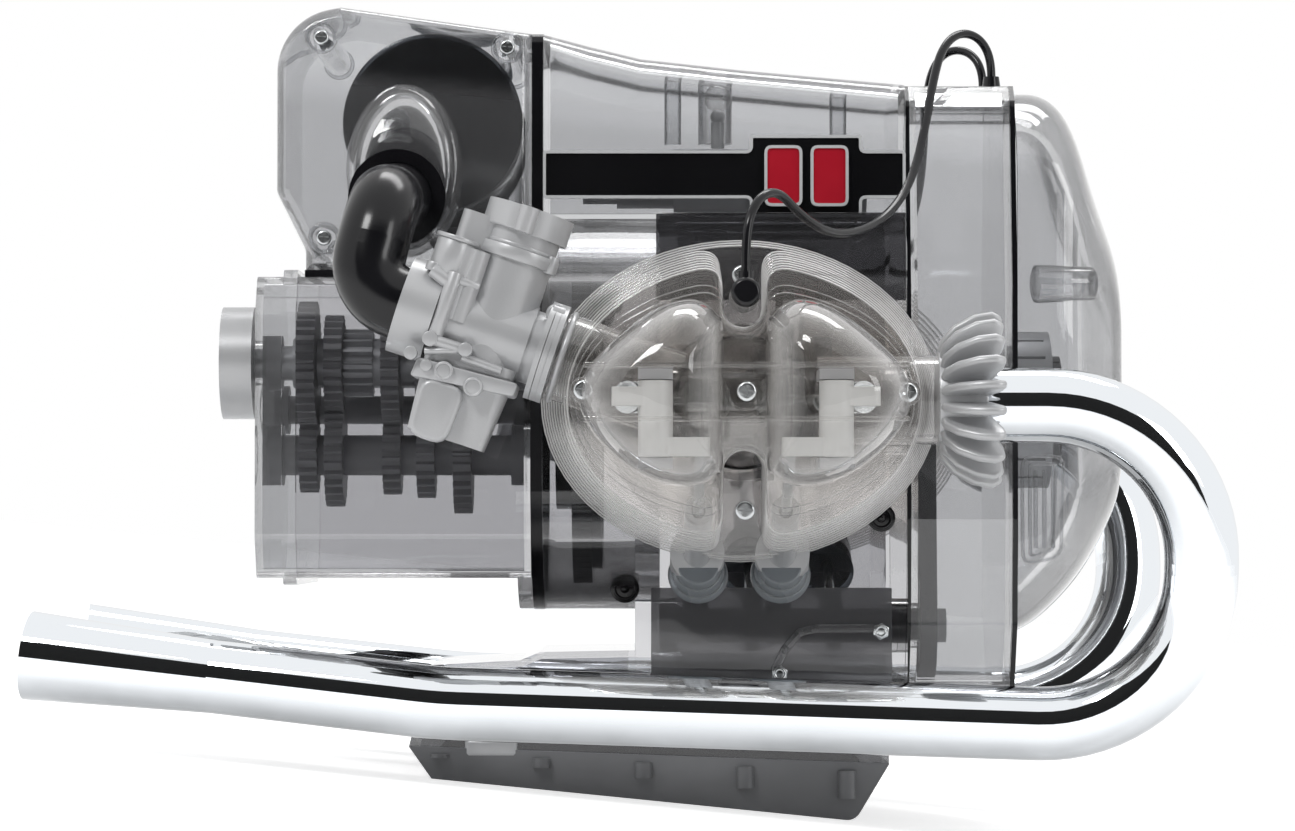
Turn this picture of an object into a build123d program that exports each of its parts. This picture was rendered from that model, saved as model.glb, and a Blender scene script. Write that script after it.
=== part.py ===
from build123d import *
import os
from math import atan2, cos, degrees, hypot, pi, radians, sin, tan

# A half-size, see-through teaching model of a flat twin four stroke engine with its gearbox.
# It is modelled in the engine's own frame: +X forward along the crankshaft, +Y to the left,
# +Z up, origin where the right cylinder's axis crosses the crankshaft. The finished pieces are
# tipped nose up until the oil pan stands flat, with the origin at the centre of its underside.
# The right side is modelled, and the left one is its mirror image, set forward by the stagger.

# Driving sizes in millimetres
bore = 45.0
stroke = 35.3
rod_length = 67.5
cylinder_stagger = 20.0
wall = 2.4
seat_gap = 0.3
running_fit = 0.05
overrun = 2.0
pan_tilt = 5.7

# Planes across the engine, from the rear to the front, and the heights of its decks
rear_cover_rear = -165.0
gearbox_rear = -151.0
gearbox_front = -71.0
bell_rear = -67.0
block_rear = -27.0
block_front = 57.3
timing_rear = 58.7
timing_front = 93.3
front_cover_rear = 95.0
front_cover_nose = 135.0
case_half_width = 57.5
deck_height = 66.0
block_bottom = -97.0
gearbox_top = 44.6
gearbox_bottom = -58.8
bell_radius = 70.4
bell_half_width = 64.0
timing_top = 111.0

# Crankshaft, its pins and the pieces on it
crank_radius = stroke / 2
crankpin_radius = 9.0
journal_radius = 10.0
web_thickness = 6.0
web_radius = 31.0
web_width = 50.0
crank_rear = -47.0
crank_nose = 118.0
nose_radius = 7.0
big_end_wall = 3.5
big_end_side_gap = 1.0
plug_radius = 4.0
plug_depth = 5.0
pin_length = cylinder_stagger - web_thickness
rear_web_rear = -pin_length / 2 - web_thickness
front_web_front = cylinder_stagger + pin_length / 2 + web_thickness

# Flywheel, ring gear and clutch
ring_gear_teeth = 100
gear_module = 1.2
flywheel_rear = -57.2
ring_gear_front = -50.5
flywheel_disc_radius = 56.0
clutch_radius = 40.0
clutch_thickness = 6.0
clutch_finger_radius = 16.0

# Main and shaft bearings
bearing_wall = 6.0
front_bearing_wall = 7.3
shaft_bearing_wall = 3.5
shaft_bearing_length = 5.0

# Camshaft below the crankshaft, driven by a chain at the front
cam_drop = 76.0
cam_shaft_radius = 6.0
cam_rear = -26.5
cam_front = 74.0
cam_base_radius = 6.6
cam_lift = 2.6
cam_width = 5.0
crank_sprocket_teeth = 14
cam_sprocket_teeth = 28
sprocket_pitch_radius = 8.0
sprocket_rear = 65.0
sprocket_width = 4.0
sprocket_tooth_height = 0.9
chain_thickness = 1.6
chain_width = 6.0

# Gearbox shafts
input_teeth = 18
input_shaft_radius = 5.0
lay_shaft_radius = 7.0
output_shaft_radius = 6.0
shaft_end = -162.0
lay_teeth = (20, 28, 21, 23, 32)
output_teeth = (34, 26, 33, 31, 22)
gear_rears = (-151.7, -142.6, -122.8, -111.0, -98.2)
gear_width = 6.2
engaged_gear = 4
collar_radius = 8.6
dog_hub_radius = 12.0
dog_hub_length = 10.0
lay_centre = (-25.1, -16.4)
output_lean = 101.0
output_flange_radius = 19.4
output_flange_rear = -178.0
output_flange_front = -167.0
output_flange_bolts = 6
output_flange_bolt_circle = 27.0
output_flange_bolt_radius = 1.6

# Cylinders, pistons and rods
barrel_wall = 3.5
cylinder_top = 107.5
base_flange_width = 53.4
base_flange_height = 66.0
base_flange_thickness = 4.0
base_flange_corner = 10.0
fin_width = 127.0
fin_height = 101.0
fin_corner = 12.0
fin_thickness = 1.7
fin_count = 6
piston_clearance = 0.3
piston_height = 28.0
piston_crown = 15.0
piston_wall = 2.2
ring_groove_depth = 0.9
ring_groove_width = 1.2
wrist_pin_radius = 4.5
small_end_radius = 7.5
rod_width = 8.0
rod_depth = 12.0
rod_groove = 1.6

# Cylinder heads
head_core_radius = 37.0
head_top = 142.0
head_deck = 3.5
chamber_depth = 8.0
head_fin_count = 5
head_fin_shrink_share = 0.045
port_radius = 9.0
port_boss_radius = 15.0
port_axis_out = 123.0

# Valve gear
valve_lean = 30.0
valve_head_offset = 12.0
valve_head_out = 112.5
valve_head_radius = 9.0
valve_head_thickness = 1.6
valve_stem_radius = 1.7
valve_length = 55.2
valve_lift = 2.8
spring_radius = 4.6
spring_wire_radius = 0.6
spring_turns = 6
spring_height = 20.0
retainer_thickness = 1.8
rocker_x = 28.7
rocker_out = 165.0
rocker_shaft_radius = 3.0
rocker_boss_radius = 5.5
rocker_boss_height = 22.0
rocker_shaft_height = 46.0
rocker_arm_depth = 7.0
rocker_arm_width = 6.0
rocker_swing = 10.4
pushrod_x = 14.4
pushrod_end_drop = 16.0
pushrod_radius = 1.8
pushrod_tube_radius = 4.6
pushrod_boot_radius = 9.2
pushrod_boot_length = 12.0
tappet_radius = 4.5
tappet_length = 12.0

# Overall reach used where a cut or a block has to pass right through
through = 400.0


def polar(radius, angle):
    """A point at a radius and an angle in degrees."""
    return (radius * cos(radians(angle)), radius * sin(radians(angle)))


def between(start, end, share):
    """The point a share of the way from start to end."""
    return tuple(a + (b - a) * share for a, b in zip(start, end))


def rounded_face(plane, points, radius=0):
    """A straight-sided face on a plane, with all its corners rounded."""
    with BuildSketch(plane) as face:
        with BuildLine():
            Polyline(*points, close=True)
        make_face()
        if radius:
            fillet(face.vertices(), radius)
    return face.sketch


def inset(face, amount):
    """The same face drawn in by a wall's thickness."""
    return offset(face, amount=-amount, kind=Kind.INTERSECTION, mode=Mode.PRIVATE)


def rod(start, end, radius, inner=0):
    """A round bar or tube from one point to another."""
    axis = Vector(*end) - Vector(*start)
    with BuildPart() as bar:
        with BuildSketch(Plane(origin=start, z_dir=axis)):
            Circle(radius)
            if inner:
                Circle(inner, mode=Mode.SUBTRACT)
        extrude(amount=axis.length)
    return bar.part


def disc(rear, front, radius, inner=0, centre=(0, 0)):
    """A round piece along the crankshaft's direction, at a place across the engine."""
    return rod((rear, *centre), (front, *centre), radius, inner)


def to_left(piece, shift=cylinder_stagger):
    """The left-hand copy of a right-hand piece, moved forward by the stagger."""
    return mirror(piece, about=Plane.XZ, mode=Mode.PRIVATE).moved(Location((shift, 0, 0)))


def group(*pieces):
    """Several separate solids of one sub-part."""
    solids = [solid for piece in pieces for solid in piece.solids()]
    return Compound(children=solids)


# The stand: nose up by the pan's slope, origin at the centre of the pan's underside
pan_rear_foot = (-104.8, -127.0)
pan_half_width = 55.0
pan_foot_length = 145.0
pan_front_foot = (
    pan_rear_foot[0] + pan_foot_length * cos(radians(pan_tilt)),
    pan_rear_foot[1] - pan_foot_length * sin(radians(pan_tilt)),
)
pan_foot_centre = between(pan_rear_foot, pan_front_foot, 1 / 2)
stand = Location((0, 0, 0), (0, -pan_tilt, 0)) * Location((-pan_foot_centre[0], 0, -pan_foot_centre[1]))

os.makedirs("parts", exist_ok=True)


def keep(piece, name):
    """Stand a finished piece on its pan, label it and write its file."""
    placed = piece.moved(stand)
    placed.label = name
    export_step(placed, f"parts/{name}.step")
    return placed


def gear_points(teeth, phase, module=gear_module):
    """The outline of a straight-toothed gear with flat-sided teeth and easy backlash."""
    pitch_angle = 360 / teeth
    root_radius = module * (teeth / 2 - gear_root_share)
    tip_radius = module * (teeth / 2 + gear_tip_share)
    corners = (
        (root_radius, -tooth_root_share),
        (tip_radius, -tooth_tip_share),
        (tip_radius, tooth_tip_share),
        (root_radius, tooth_root_share),
    )
    points = []
    for tooth in range(teeth):
        for radius, share in corners:
            points.append(polar(radius, phase + (tooth + share) * pitch_angle))
    return points


gear_root_share = 1.15
gear_tip_share = 0.85
tooth_root_share = 0.26
tooth_tip_share = 0.11


def gear(rear, width, teeth, phase, centre=(0, 0), hole=0):
    """One gear wheel across the crankshaft's direction."""
    with BuildPart() as wheel:
        with BuildSketch(Plane.YZ.offset(rear)):
            with Locations(centre):
                Polygon(*gear_points(teeth, phase), align=None)
                if hole:
                    Circle(hole, mode=Mode.SUBTRACT)
        extrude(amount=width)
    return wheel.part


def meshing_phase(driver_teeth, driver_phase, direction, teeth):
    """The phase of a gear whose gap meets the driver's tooth along a line of centres."""
    driver_pitch = 360 / driver_teeth
    past_tooth = ((direction - driver_phase) / driver_pitch) % 1
    return direction + 180 + (past_tooth + 1 / 2) * 360 / teeth


# Crankshaft
def crank_web(rear):
    """A round crank web with flat sides."""
    with BuildPart() as web:
        with BuildSketch(Plane.YZ.offset(rear)):
            Circle(web_radius)
            Rectangle(web_radius * 2, web_width, mode=Mode.INTERSECT)
        extrude(amount=web_thickness)
    return web.part


big_end_radius = crankpin_radius + running_fit + big_end_wall
right_pin = (-crank_radius, 0)
left_pin = (crank_radius, 0)
right_plug_centre = (-crank_radius / 2, 0)
left_plug_centre = (crank_radius / 2, 0)
right_plug_face = -pin_length / 2
left_plug_face = cylinder_stagger + pin_length / 2
sprocket_front = sprocket_rear + sprocket_width

with BuildPart() as crankshaft:
    add(disc(crank_rear, rear_web_rear, journal_radius))
    add(crank_web(rear_web_rear))
    add(disc(-pin_length / 2, pin_length / 2, crankpin_radius, centre=right_pin))
    add(crank_web(pin_length / 2))
    add(disc(left_plug_face - pin_length, left_plug_face, crankpin_radius, centre=left_pin))
    add(crank_web(left_plug_face))
    add(disc(front_web_front, block_front, journal_radius))
    add(disc(block_front, crank_nose, nose_radius))
    add(
        disc(right_plug_face - plug_depth - running_fit, right_plug_face, plug_radius, centre=right_plug_centre),
        mode=Mode.SUBTRACT,
    )
    add(
        disc(left_plug_face, left_plug_face + plug_depth + running_fit, plug_radius, centre=left_plug_centre),
        mode=Mode.SUBTRACT,
    )


def sprocket_points(teeth, pitch_radius):
    """The outline of a chain wheel with short pointed teeth."""
    tip = pitch_radius + sprocket_tooth_height / 2
    root = pitch_radius - sprocket_tooth_height / 2
    points = []
    for tooth in range(teeth):
        points.append(polar(root, (tooth - tooth_root_share) * 360 / teeth))
        points.append(polar(tip, (tooth - tooth_tip_share) * 360 / teeth))
        points.append(polar(tip, (tooth + tooth_tip_share) * 360 / teeth))
        points.append(polar(root, (tooth + tooth_root_share) * 360 / teeth))
    return points


def sprocket(teeth, pitch_radius, centre, hole):
    """A chain wheel at the front of the engine."""
    with BuildPart() as wheel:
        with BuildSketch(Plane.YZ.offset(sprocket_rear)):
            with Locations(centre):
                Polygon(*sprocket_points(teeth, pitch_radius), align=None)
                Circle(hole, mode=Mode.SUBTRACT)
        extrude(amount=sprocket_width)
    return wheel.part


cam_centre = (0, -cam_drop)
cam_sprocket_radius = sprocket_pitch_radius * cam_sprocket_teeth / crank_sprocket_teeth
crank_sprocket = sprocket(crank_sprocket_teeth, sprocket_pitch_radius, (0, 0), nose_radius)

right_ring = disc(
    big_end_side_gap - pin_length / 2,
    pin_length / 2 - big_end_side_gap,
    big_end_radius,
    crankpin_radius + running_fit,
    right_pin,
)
keep(group(crankshaft.part, crank_sprocket, right_ring, to_left(right_ring)), "crankshaft")


def plug(face, depth, centre):
    """The small round plug that closes a drilling in a crank web."""
    with BuildPart() as body:
        add(disc(face, face + depth, plug_radius - running_fit, centre=centre))
        with BuildSketch(Plane(origin=(face + depth, *centre), z_dir=(-depth, 0, 0))):
            RegularPolygon(plug_radius / 2, 6)
        extrude(amount=plug_depth / 3, mode=Mode.SUBTRACT)
    return body.part


keep(plug(right_plug_face - plug_depth, plug_depth - running_fit, right_plug_centre), "crank_plug_right")
keep(plug(left_plug_face + plug_depth, running_fit - plug_depth, left_plug_centre), "crank_plug_left")

# Flywheel with its ring gear, and the clutch bolted to its rear face
with BuildPart() as flywheel:
    add(gear(flywheel_rear, ring_gear_front - flywheel_rear, ring_gear_teeth, 0))
    add(disc(ring_gear_front, crank_rear, flywheel_disc_radius))
    add(disc(ring_gear_front, crank_rear, flywheel_disc_radius - wall * 2, journal_radius * 2), mode=Mode.SUBTRACT)
    with BuildSketch(Plane.YZ.offset(flywheel_rear)):
        with PolarLocations(clutch_radius, 8, start_angle=22.5):
            Circle(wall * 2)
    extrude(amount=crank_rear - flywheel_rear, mode=Mode.SUBTRACT)

with BuildPart() as clutch:
    add(disc(flywheel_rear - clutch_thickness, flywheel_rear, clutch_radius - wall * 2 - seat_gap))
    with BuildSketch(Plane.YZ.offset(flywheel_rear - clutch_thickness)):
        with PolarLocations((clutch_radius + clutch_finger_radius) / 2 - wall * 2, 12):
            Rectangle(clutch_finger_radius, wall)
    extrude(amount=clutch_thickness / 2, mode=Mode.SUBTRACT)
keep(group(flywheel.part, clutch.part), "flywheel")

# Gearbox: input shaft on the crankshaft's line, layshaft, and output shaft
lay_distance = hypot(*lay_centre)
lay_angle = degrees(atan2(lay_centre[1], lay_centre[0]))
pair_distance = gear_module * (lay_teeth[0] + output_teeth[0]) / 2
output_centre = tuple(a + b for a, b in zip(lay_centre, polar(pair_distance, output_lean)))
shaft_bearing_rear = shaft_end + overrun
case_inner_front = gearbox_front - wall

lay_phases = [output_lean for teeth in lay_teeth]
output_phases = [
    meshing_phase(lay, output_lean, output_lean, out) for lay, out in zip(lay_teeth, output_teeth)
]
input_phase = meshing_phase(lay_teeth[engaged_gear], output_lean, lay_angle + 180, input_teeth)

with BuildPart() as input_shaft:
    add(disc(shaft_end, flywheel_rear - clutch_thickness, input_shaft_radius))
    add(gear(gear_rears[engaged_gear], gear_width, input_teeth, input_phase))
keep(input_shaft.part, "input_shaft")

with BuildPart() as layshaft:
    add(disc(shaft_end, case_inner_front - seat_gap, lay_shaft_radius, centre=lay_centre))
    for rear, teeth, phase in zip(gear_rears, lay_teeth, lay_phases):
        add(gear(rear, gear_width, teeth, phase, lay_centre))
keep(layshaft.part, "layshaft")

gear_fronts = [rear + gear_width for rear in gear_rears]
hub_rear = gear_fronts[1] + seat_gap
collars = (
    (gear_rears[0] - overrun, gear_rears[0] - seat_gap),
    (gear_fronts[0] + seat_gap, gear_rears[1] - seat_gap),
    (hub_rear + dog_hub_length, gear_rears[2] - seat_gap),
    (gear_fronts[2] + seat_gap, gear_rears[3] - seat_gap),
    (gear_fronts[3] + seat_gap, gear_rears[4]),
)
with BuildPart() as output_shaft:
    add(disc(output_flange_front, case_inner_front - seat_gap, output_shaft_radius, centre=output_centre))
    for rear, front in collars:
        add(disc(rear, front, collar_radius, centre=output_centre))
    add(gear(hub_rear, dog_hub_length, output_teeth[1] // 2 + 5, 0, output_centre))
    add(gear(gear_rears[engaged_gear], gear_width, output_teeth[engaged_gear], output_phases[engaged_gear], output_centre))
    add(disc(output_flange_rear, output_flange_front, output_flange_radius, centre=output_centre))
    add(
        disc(output_flange_rear, output_flange_rear + overrun, output_flange_radius / 2, centre=output_centre),
        mode=Mode.SUBTRACT,
    )
    with BuildSketch(Plane.YZ.offset(output_flange_rear)):
        with Locations(output_centre):
            with PolarLocations(output_flange_bolt_circle / 2, output_flange_bolts):
                Circle(output_flange_bolt_radius)
    extrude(amount=output_flange_front - output_flange_rear, mode=Mode.SUBTRACT)
keep(output_shaft.part, "output_shaft")

free_gears = ("first", "second", "third", "fourth")
for index, name in enumerate(free_gears):
    wheel = gear(
        gear_rears[index],
        gear_width,
        output_teeth[index],
        output_phases[index],
        output_centre,
        output_shaft_radius + running_fit,
    )
    keep(wheel, f"output_gear_{name}")

# Camshaft and timing chain
cam_places = (-pushrod_x, pushrod_x, cylinder_stagger - pushrod_x, cylinder_stagger + pushrod_x)
cam_lobe_angles = (60, 120, 240, 300)
with BuildPart() as camshaft:
    add(disc(cam_rear, cam_front, cam_shaft_radius, centre=cam_centre))
    for place, angle in zip(cam_places, cam_lobe_angles):
        with BuildSketch(Plane.YZ.offset(place - cam_width / 2)):
            with Locations(cam_centre):
                Circle(cam_base_radius)
                with Locations(polar(cam_lift, angle)):
                    Circle(cam_base_radius)
        extrude(amount=cam_width)
cam_sprocket = sprocket(cam_sprocket_teeth, cam_sprocket_radius, cam_centre, cam_shaft_radius)
keep(group(camshaft.part, cam_sprocket), "camshaft")

chain_gap = sprocket_tooth_height / 2 + seat_gap
chain_rear = sprocket_rear - (chain_width - sprocket_width) / 2


def chain_outline(extra):
    """The chain's closed line round both wheels, drawn out by some amount."""
    with BuildSketch(Plane.YZ.offset(chain_rear)) as loop:
        Circle(sprocket_pitch_radius + extra)
        with Locations(cam_centre):
            Circle(cam_sprocket_radius + extra)
        make_hull()
    return loop.sketch


with BuildPart() as timing_chain:
    extrude(chain_outline(chain_gap + chain_thickness), amount=chain_width)
    extrude(chain_outline(chain_gap), amount=chain_width, mode=Mode.SUBTRACT)
keep(timing_chain.part, "timing_chain")

# Alternator on the nose of the crankshaft
rotor_rear = 98.0
rotor_front = 114.0
rotor_radius = 19.0
stator_wall = 8.0
stator_front = 110.0
stator_slots = 18
stator_air_gap = 0.6
with BuildPart() as rotor:
    add(disc(rotor_rear, rotor_front, rotor_radius, nose_radius))
    with BuildSketch(Plane.YZ.offset(rotor_rear)):
        with PolarLocations(rotor_radius, 12):
            Rectangle(wall, wall / 2)
    extrude(amount=rotor_front - rotor_rear, mode=Mode.SUBTRACT)
keep(rotor.part, "alternator_rotor")

with BuildPart() as stator:
    add(disc(timing_front, stator_front, rotor_radius + stator_air_gap + stator_wall, rotor_radius + stator_air_gap))
    with BuildSketch(Plane.YZ.offset(timing_front + wall)):
        with PolarLocations(rotor_radius + stator_air_gap + stator_wall, stator_slots):
            Rectangle(stator_wall, wall / 2)
    extrude(amount=stator_front - timing_front - wall * 2, mode=Mode.SUBTRACT)
keep(stator.part, "alternator_stator")

# Pistons with their rings and wrist pins, and the connecting rods
wrist_out = crank_radius + rod_length
crown_out = wrist_out + piston_crown
skirt_out = crown_out - piston_height
piston_radius = bore / 2 - piston_clearance
ring_count = 3
ring_pitch = ring_groove_width * 2
small_end_width = rod_width + overrun

with BuildPart() as piston:
    with BuildSketch(Plane.XZ.offset(skirt_out)):
        Circle(piston_radius)
    extrude(amount=piston_height)
    with BuildSketch(Plane.XZ.offset(skirt_out)):
        Circle(piston_radius - piston_wall)
        with GridLocations(piston_radius * 2, 0, 2, 1):
            Rectangle(piston_radius * 2 - small_end_width - seat_gap * 2, wrist_pin_radius * 4, mode=Mode.SUBTRACT)
    extrude(amount=piston_height - piston_wall * 2, mode=Mode.SUBTRACT)
    for groove in range(ring_count):
        with BuildSketch(Plane.XZ.offset(crown_out - (groove + 1) * ring_pitch - ring_groove_width)):
            Circle(piston_radius + overrun)
            Circle(piston_radius - ring_groove_depth, mode=Mode.SUBTRACT)
        extrude(amount=ring_groove_width, mode=Mode.SUBTRACT)
    add(
        rod((-bore, -wrist_out, 0), (bore, -wrist_out, 0), wrist_pin_radius + running_fit),
        mode=Mode.SUBTRACT,
    )

piston_rings = []
for groove in range(ring_count):
    ring_rear = crown_out - (groove + 1) * ring_pitch - ring_groove_width + running_fit
    with BuildPart() as ring:
        with BuildSketch(Plane.XZ.offset(ring_rear)):
            Circle(bore / 2 - running_fit * 2)
            Circle(piston_radius - ring_groove_depth + running_fit, mode=Mode.SUBTRACT)
        extrude(amount=ring_groove_width - running_fit * 2)
    piston_rings.append(ring.part)

pin_reach = piston_radius - piston_wall / 2
wrist_pin = rod((-pin_reach, -wrist_out, 0), (pin_reach, -wrist_out, 0), wrist_pin_radius, wrist_pin_radius / 2)
right_piston = group(piston.part, *piston_rings, wrist_pin)
keep(right_piston, "piston_right")
keep(group(to_left(right_piston)), "piston_left")

foot_out = crank_radius + big_end_radius + seat_gap
shank_out = wrist_out - small_end_radius / 2
foot_half = big_end_radius * 3 / 4
with BuildPart() as conrod:
    with BuildSketch(Plane.YZ.offset(-rod_width / 2)):
        Polygon(
            (-foot_out, -foot_half),
            (-foot_out, foot_half),
            (-foot_out - foot_half, rod_depth / 2),
            (-shank_out, rod_depth * 3 / 8),
            (-shank_out, -rod_depth * 3 / 8),
            (-foot_out - foot_half, -rod_depth / 2),
            align=None,
        )
    extrude(amount=rod_width)
    add(rod((-small_end_width / 2, -wrist_out, 0), (small_end_width / 2, -wrist_out, 0), small_end_radius))
    for face in (-rod_width / 2, rod_width / 2 - rod_groove):
        with BuildSketch(Plane.YZ.offset(face)):
            Polygon(
                (-foot_out - foot_half, -rod_depth / 4),
                (-foot_out - foot_half, rod_depth / 4),
                (-wrist_out + small_end_radius + overrun, rod_depth / 6),
                (-wrist_out + small_end_radius + overrun, -rod_depth / 6),
                align=None,
            )
        extrude(amount=rod_groove, mode=Mode.SUBTRACT)
    add(
        rod((-bore, -wrist_out, 0), (bore, -wrist_out, 0), wrist_pin_radius + running_fit),
        mode=Mode.SUBTRACT,
    )
keep(conrod.part, "conrod_right")
keep(to_left(conrod.part), "conrod_left")

# The pushrods' sloping line, from the camshaft out and up to the rockers
rocker_face_out = rocker_out - rocker_arm_depth / 2
pushrod_end = (-rocker_face_out + seat_gap, -pushrod_end_drop)
pushrod_run = (pushrod_end[0], pushrod_end[1] + cam_drop)
pushrod_length = hypot(*pushrod_run)
tappet_start = cam_base_radius + cam_lift + seat_gap


def on_pushrod(x, along):
    """A point on a pushrod's line, at a distance from the camshaft's axis."""
    share = along / pushrod_length
    return (x, pushrod_run[0] * share, pushrod_run[1] * share - cam_drop)


def along_at(out):
    """How far along the pushrod's line it is when it has come so far out from the crankshaft."""
    return out / -pushrod_run[0] * pushrod_length


def pushrod(x):
    """A pushrod with its tappet, standing just clear of the cam's highest point."""
    tappet_end = tappet_start + tappet_length
    with BuildPart() as stick:
        add(rod(on_pushrod(x, tappet_start), on_pushrod(x, tappet_end), tappet_radius))
        add(rod(on_pushrod(x, tappet_end), on_pushrod(x, pushrod_length - pushrod_radius / 2), pushrod_radius))
    return stick.part


# Cylinders
def fin_face(plane, share, corner=fin_corner):
    """The pointed oval outline of the fins, drawn at a share of its full size."""
    width = fin_width / 2 * share
    height = fin_height / 2 * share
    with BuildSketch(plane) as face:
        with BuildLine():
            ThreePointArc((-width, 0), (0, height), (width, 0))
            ThreePointArc((width, 0), (0, -height), (-width, 0))
        make_face()
        fillet(face.vertices(), corner * share)
    return face.sketch


fin_pitch = (cylinder_top - case_half_width - base_flange_thickness) / (fin_count + 1)
boot_end = case_half_width + pushrod_boot_length
tube_bore = pushrod_radius + seat_gap * 2

with BuildPart() as cylinder:
    with BuildSketch(Plane.XZ.offset(case_half_width)):
        RectangleRounded(base_flange_width, base_flange_height, base_flange_corner)
    extrude(amount=base_flange_thickness)
    with BuildSketch(Plane.XZ.offset(case_half_width)):
        Circle(bore / 2 + barrel_wall)
    extrude(amount=cylinder_top - case_half_width)
    for fin in range(fin_count):
        out = case_half_width + base_flange_thickness + (fin + 1) * fin_pitch - fin_thickness
        extrude(fin_face(Plane.XZ.offset(out), 1), amount=fin_thickness)
    with BuildSketch(Plane.XZ.offset(case_half_width)):
        Circle(bore / 2)
    extrude(amount=cylinder_top, mode=Mode.SUBTRACT)
    for x in (-pushrod_x, pushrod_x):
        add(
            rod(
                on_pushrod(x, along_at(bore)),
                on_pushrod(x, along_at(boot_end) + pushrod_boot_radius / 2),
                pushrod_boot_radius + running_fit * 2,
            ),
            mode=Mode.SUBTRACT,
        )
        add(
            rod(
                on_pushrod(x, along_at(bore)),
                on_pushrod(x, along_at(head_top)),
                pushrod_tube_radius + running_fit * 2,
            ),
            mode=Mode.SUBTRACT,
        )
keep(group(cylinder.part, to_left(cylinder.part)), "cylinders")


def square_ended(bar, rear_out, front_out):
    """A sloping bar with its ends cut square to the cylinder's axis."""
    with BuildPart() as cut:
        add(bar)
        with BuildSketch(Plane.XZ.offset(rear_out)):
            Rectangle(through, through)
        extrude(amount=front_out - rear_out, mode=Mode.INTERSECT)
    return cut.part


pushrod_tubes = []
for x in (-pushrod_x, pushrod_x):
    line = (on_pushrod(x, along_at(case_half_width / 2)), on_pushrod(x, along_at(head_top)))
    tube = square_ended(rod(*line, pushrod_tube_radius, tube_bore), case_half_width, cylinder_top)
    pushrod_tubes.append(tube)
    boot = square_ended(
        rod(*line, pushrod_boot_radius, pushrod_tube_radius + running_fit), case_half_width, boot_end
    )
    pushrod_tubes.append(boot)
right_tubes = group(*pushrod_tubes)
keep(group(right_tubes, to_left(right_tubes)), "pushrod_tubes")

# Cylinder heads
valve_axis = (sin(radians(valve_lean)), -cos(radians(valve_lean)))
chamber_top = cylinder_top + chamber_depth
head_fin_pitch = (head_top - cylinder_top) / head_fin_count
spring_seat = (head_top - valve_head_out) / cos(radians(valve_lean)) - chamber_depth
port_end = fin_width / 2 + seat_gap
port_chamber_length = valve_head_thickness * 9
plug_height = 33.0
plug_well_radius = 8.5
plug_well_out = 128.0


def on_valve(side, along):
    """A point on a valve's axis, at a distance outwards from the face of its head."""
    return (
        side * (valve_head_offset + valve_axis[0] * along),
        -valve_head_out + valve_axis[1] * along,
        0,
    )


intake_slope = 18.4
intake_axis_drop = 5.7


def on_intake(along):
    """A point on the inlet's line, which rises rearwards from just below the cylinder's axis."""
    rear, up = polar(along, intake_slope)
    return (-rear, -port_axis_out, up - intake_axis_drop)


with BuildPart() as head:
    extrude(fin_face(Plane.XZ.offset(cylinder_top), 1), amount=head_deck)
    with BuildSketch(Plane.XZ.offset(cylinder_top)):
        Circle(head_core_radius)
    extrude(amount=head_top - cylinder_top)
    for fin in range(1, head_fin_count + 1):
        out = cylinder_top + fin * head_fin_pitch - fin_thickness
        extrude(fin_face(Plane.XZ.offset(out), 1 - fin * head_fin_shrink_share), amount=fin_thickness)
    add(rod((valve_head_offset, -port_axis_out, 0), (port_end, -port_axis_out, 0), port_boss_radius))
    add(rod(on_intake(valve_head_offset), on_intake(port_end), port_boss_radius))
    with BuildSketch(Plane.XZ.offset(cylinder_top)):
        Circle(bore / 2)
    extrude(amount=chamber_depth, mode=Mode.SUBTRACT)
    for side in (-1, 1):
        pocket_back = valve_head_thickness / 2 + running_fit
        guide = (on_valve(side, 0), on_valve(side, spring_seat + overrun))
        add(
            rod(on_valve(side, -chamber_depth), on_valve(side, pocket_back), valve_head_radius + seat_gap),
            mode=Mode.SUBTRACT,
        )
        add(rod(on_valve(side, 0), on_valve(side, port_chamber_length), port_radius - overrun), mode=Mode.SUBTRACT)
        add(rod(*guide, valve_stem_radius + running_fit), mode=Mode.SUBTRACT)
        add(
            rod(on_valve(side, spring_seat), on_valve(side, valve_length), spring_radius + overrun),
            mode=Mode.SUBTRACT,
        )
    add(
        rod((valve_head_offset + port_radius, -port_axis_out, 0), (fin_width, -port_axis_out, 0), port_radius - overrun),
        mode=Mode.SUBTRACT,
    )
    add(
        rod(on_intake(valve_head_offset + port_radius), on_intake(fin_width), port_radius - overrun),
        mode=Mode.SUBTRACT,
    )
    for x in (-pushrod_x, pushrod_x):
        add(
            rod(on_pushrod(x, along_at(case_half_width)), on_pushrod(x, along_at(rocker_out)), tube_bore),
            mode=Mode.SUBTRACT,
        )
    with BuildSketch(Plane.XZ.offset(plug_well_out)):
        with Locations((0, plug_height)):
            Circle(plug_well_radius)
        with Locations((0, plug_height + fin_height / 4)):
            Rectangle(plug_well_radius * 2, fin_height / 2)
    extrude(amount=head_top, mode=Mode.SUBTRACT)
keep(group(head.part, to_left(head.part)), "cylinder_heads")


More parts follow.
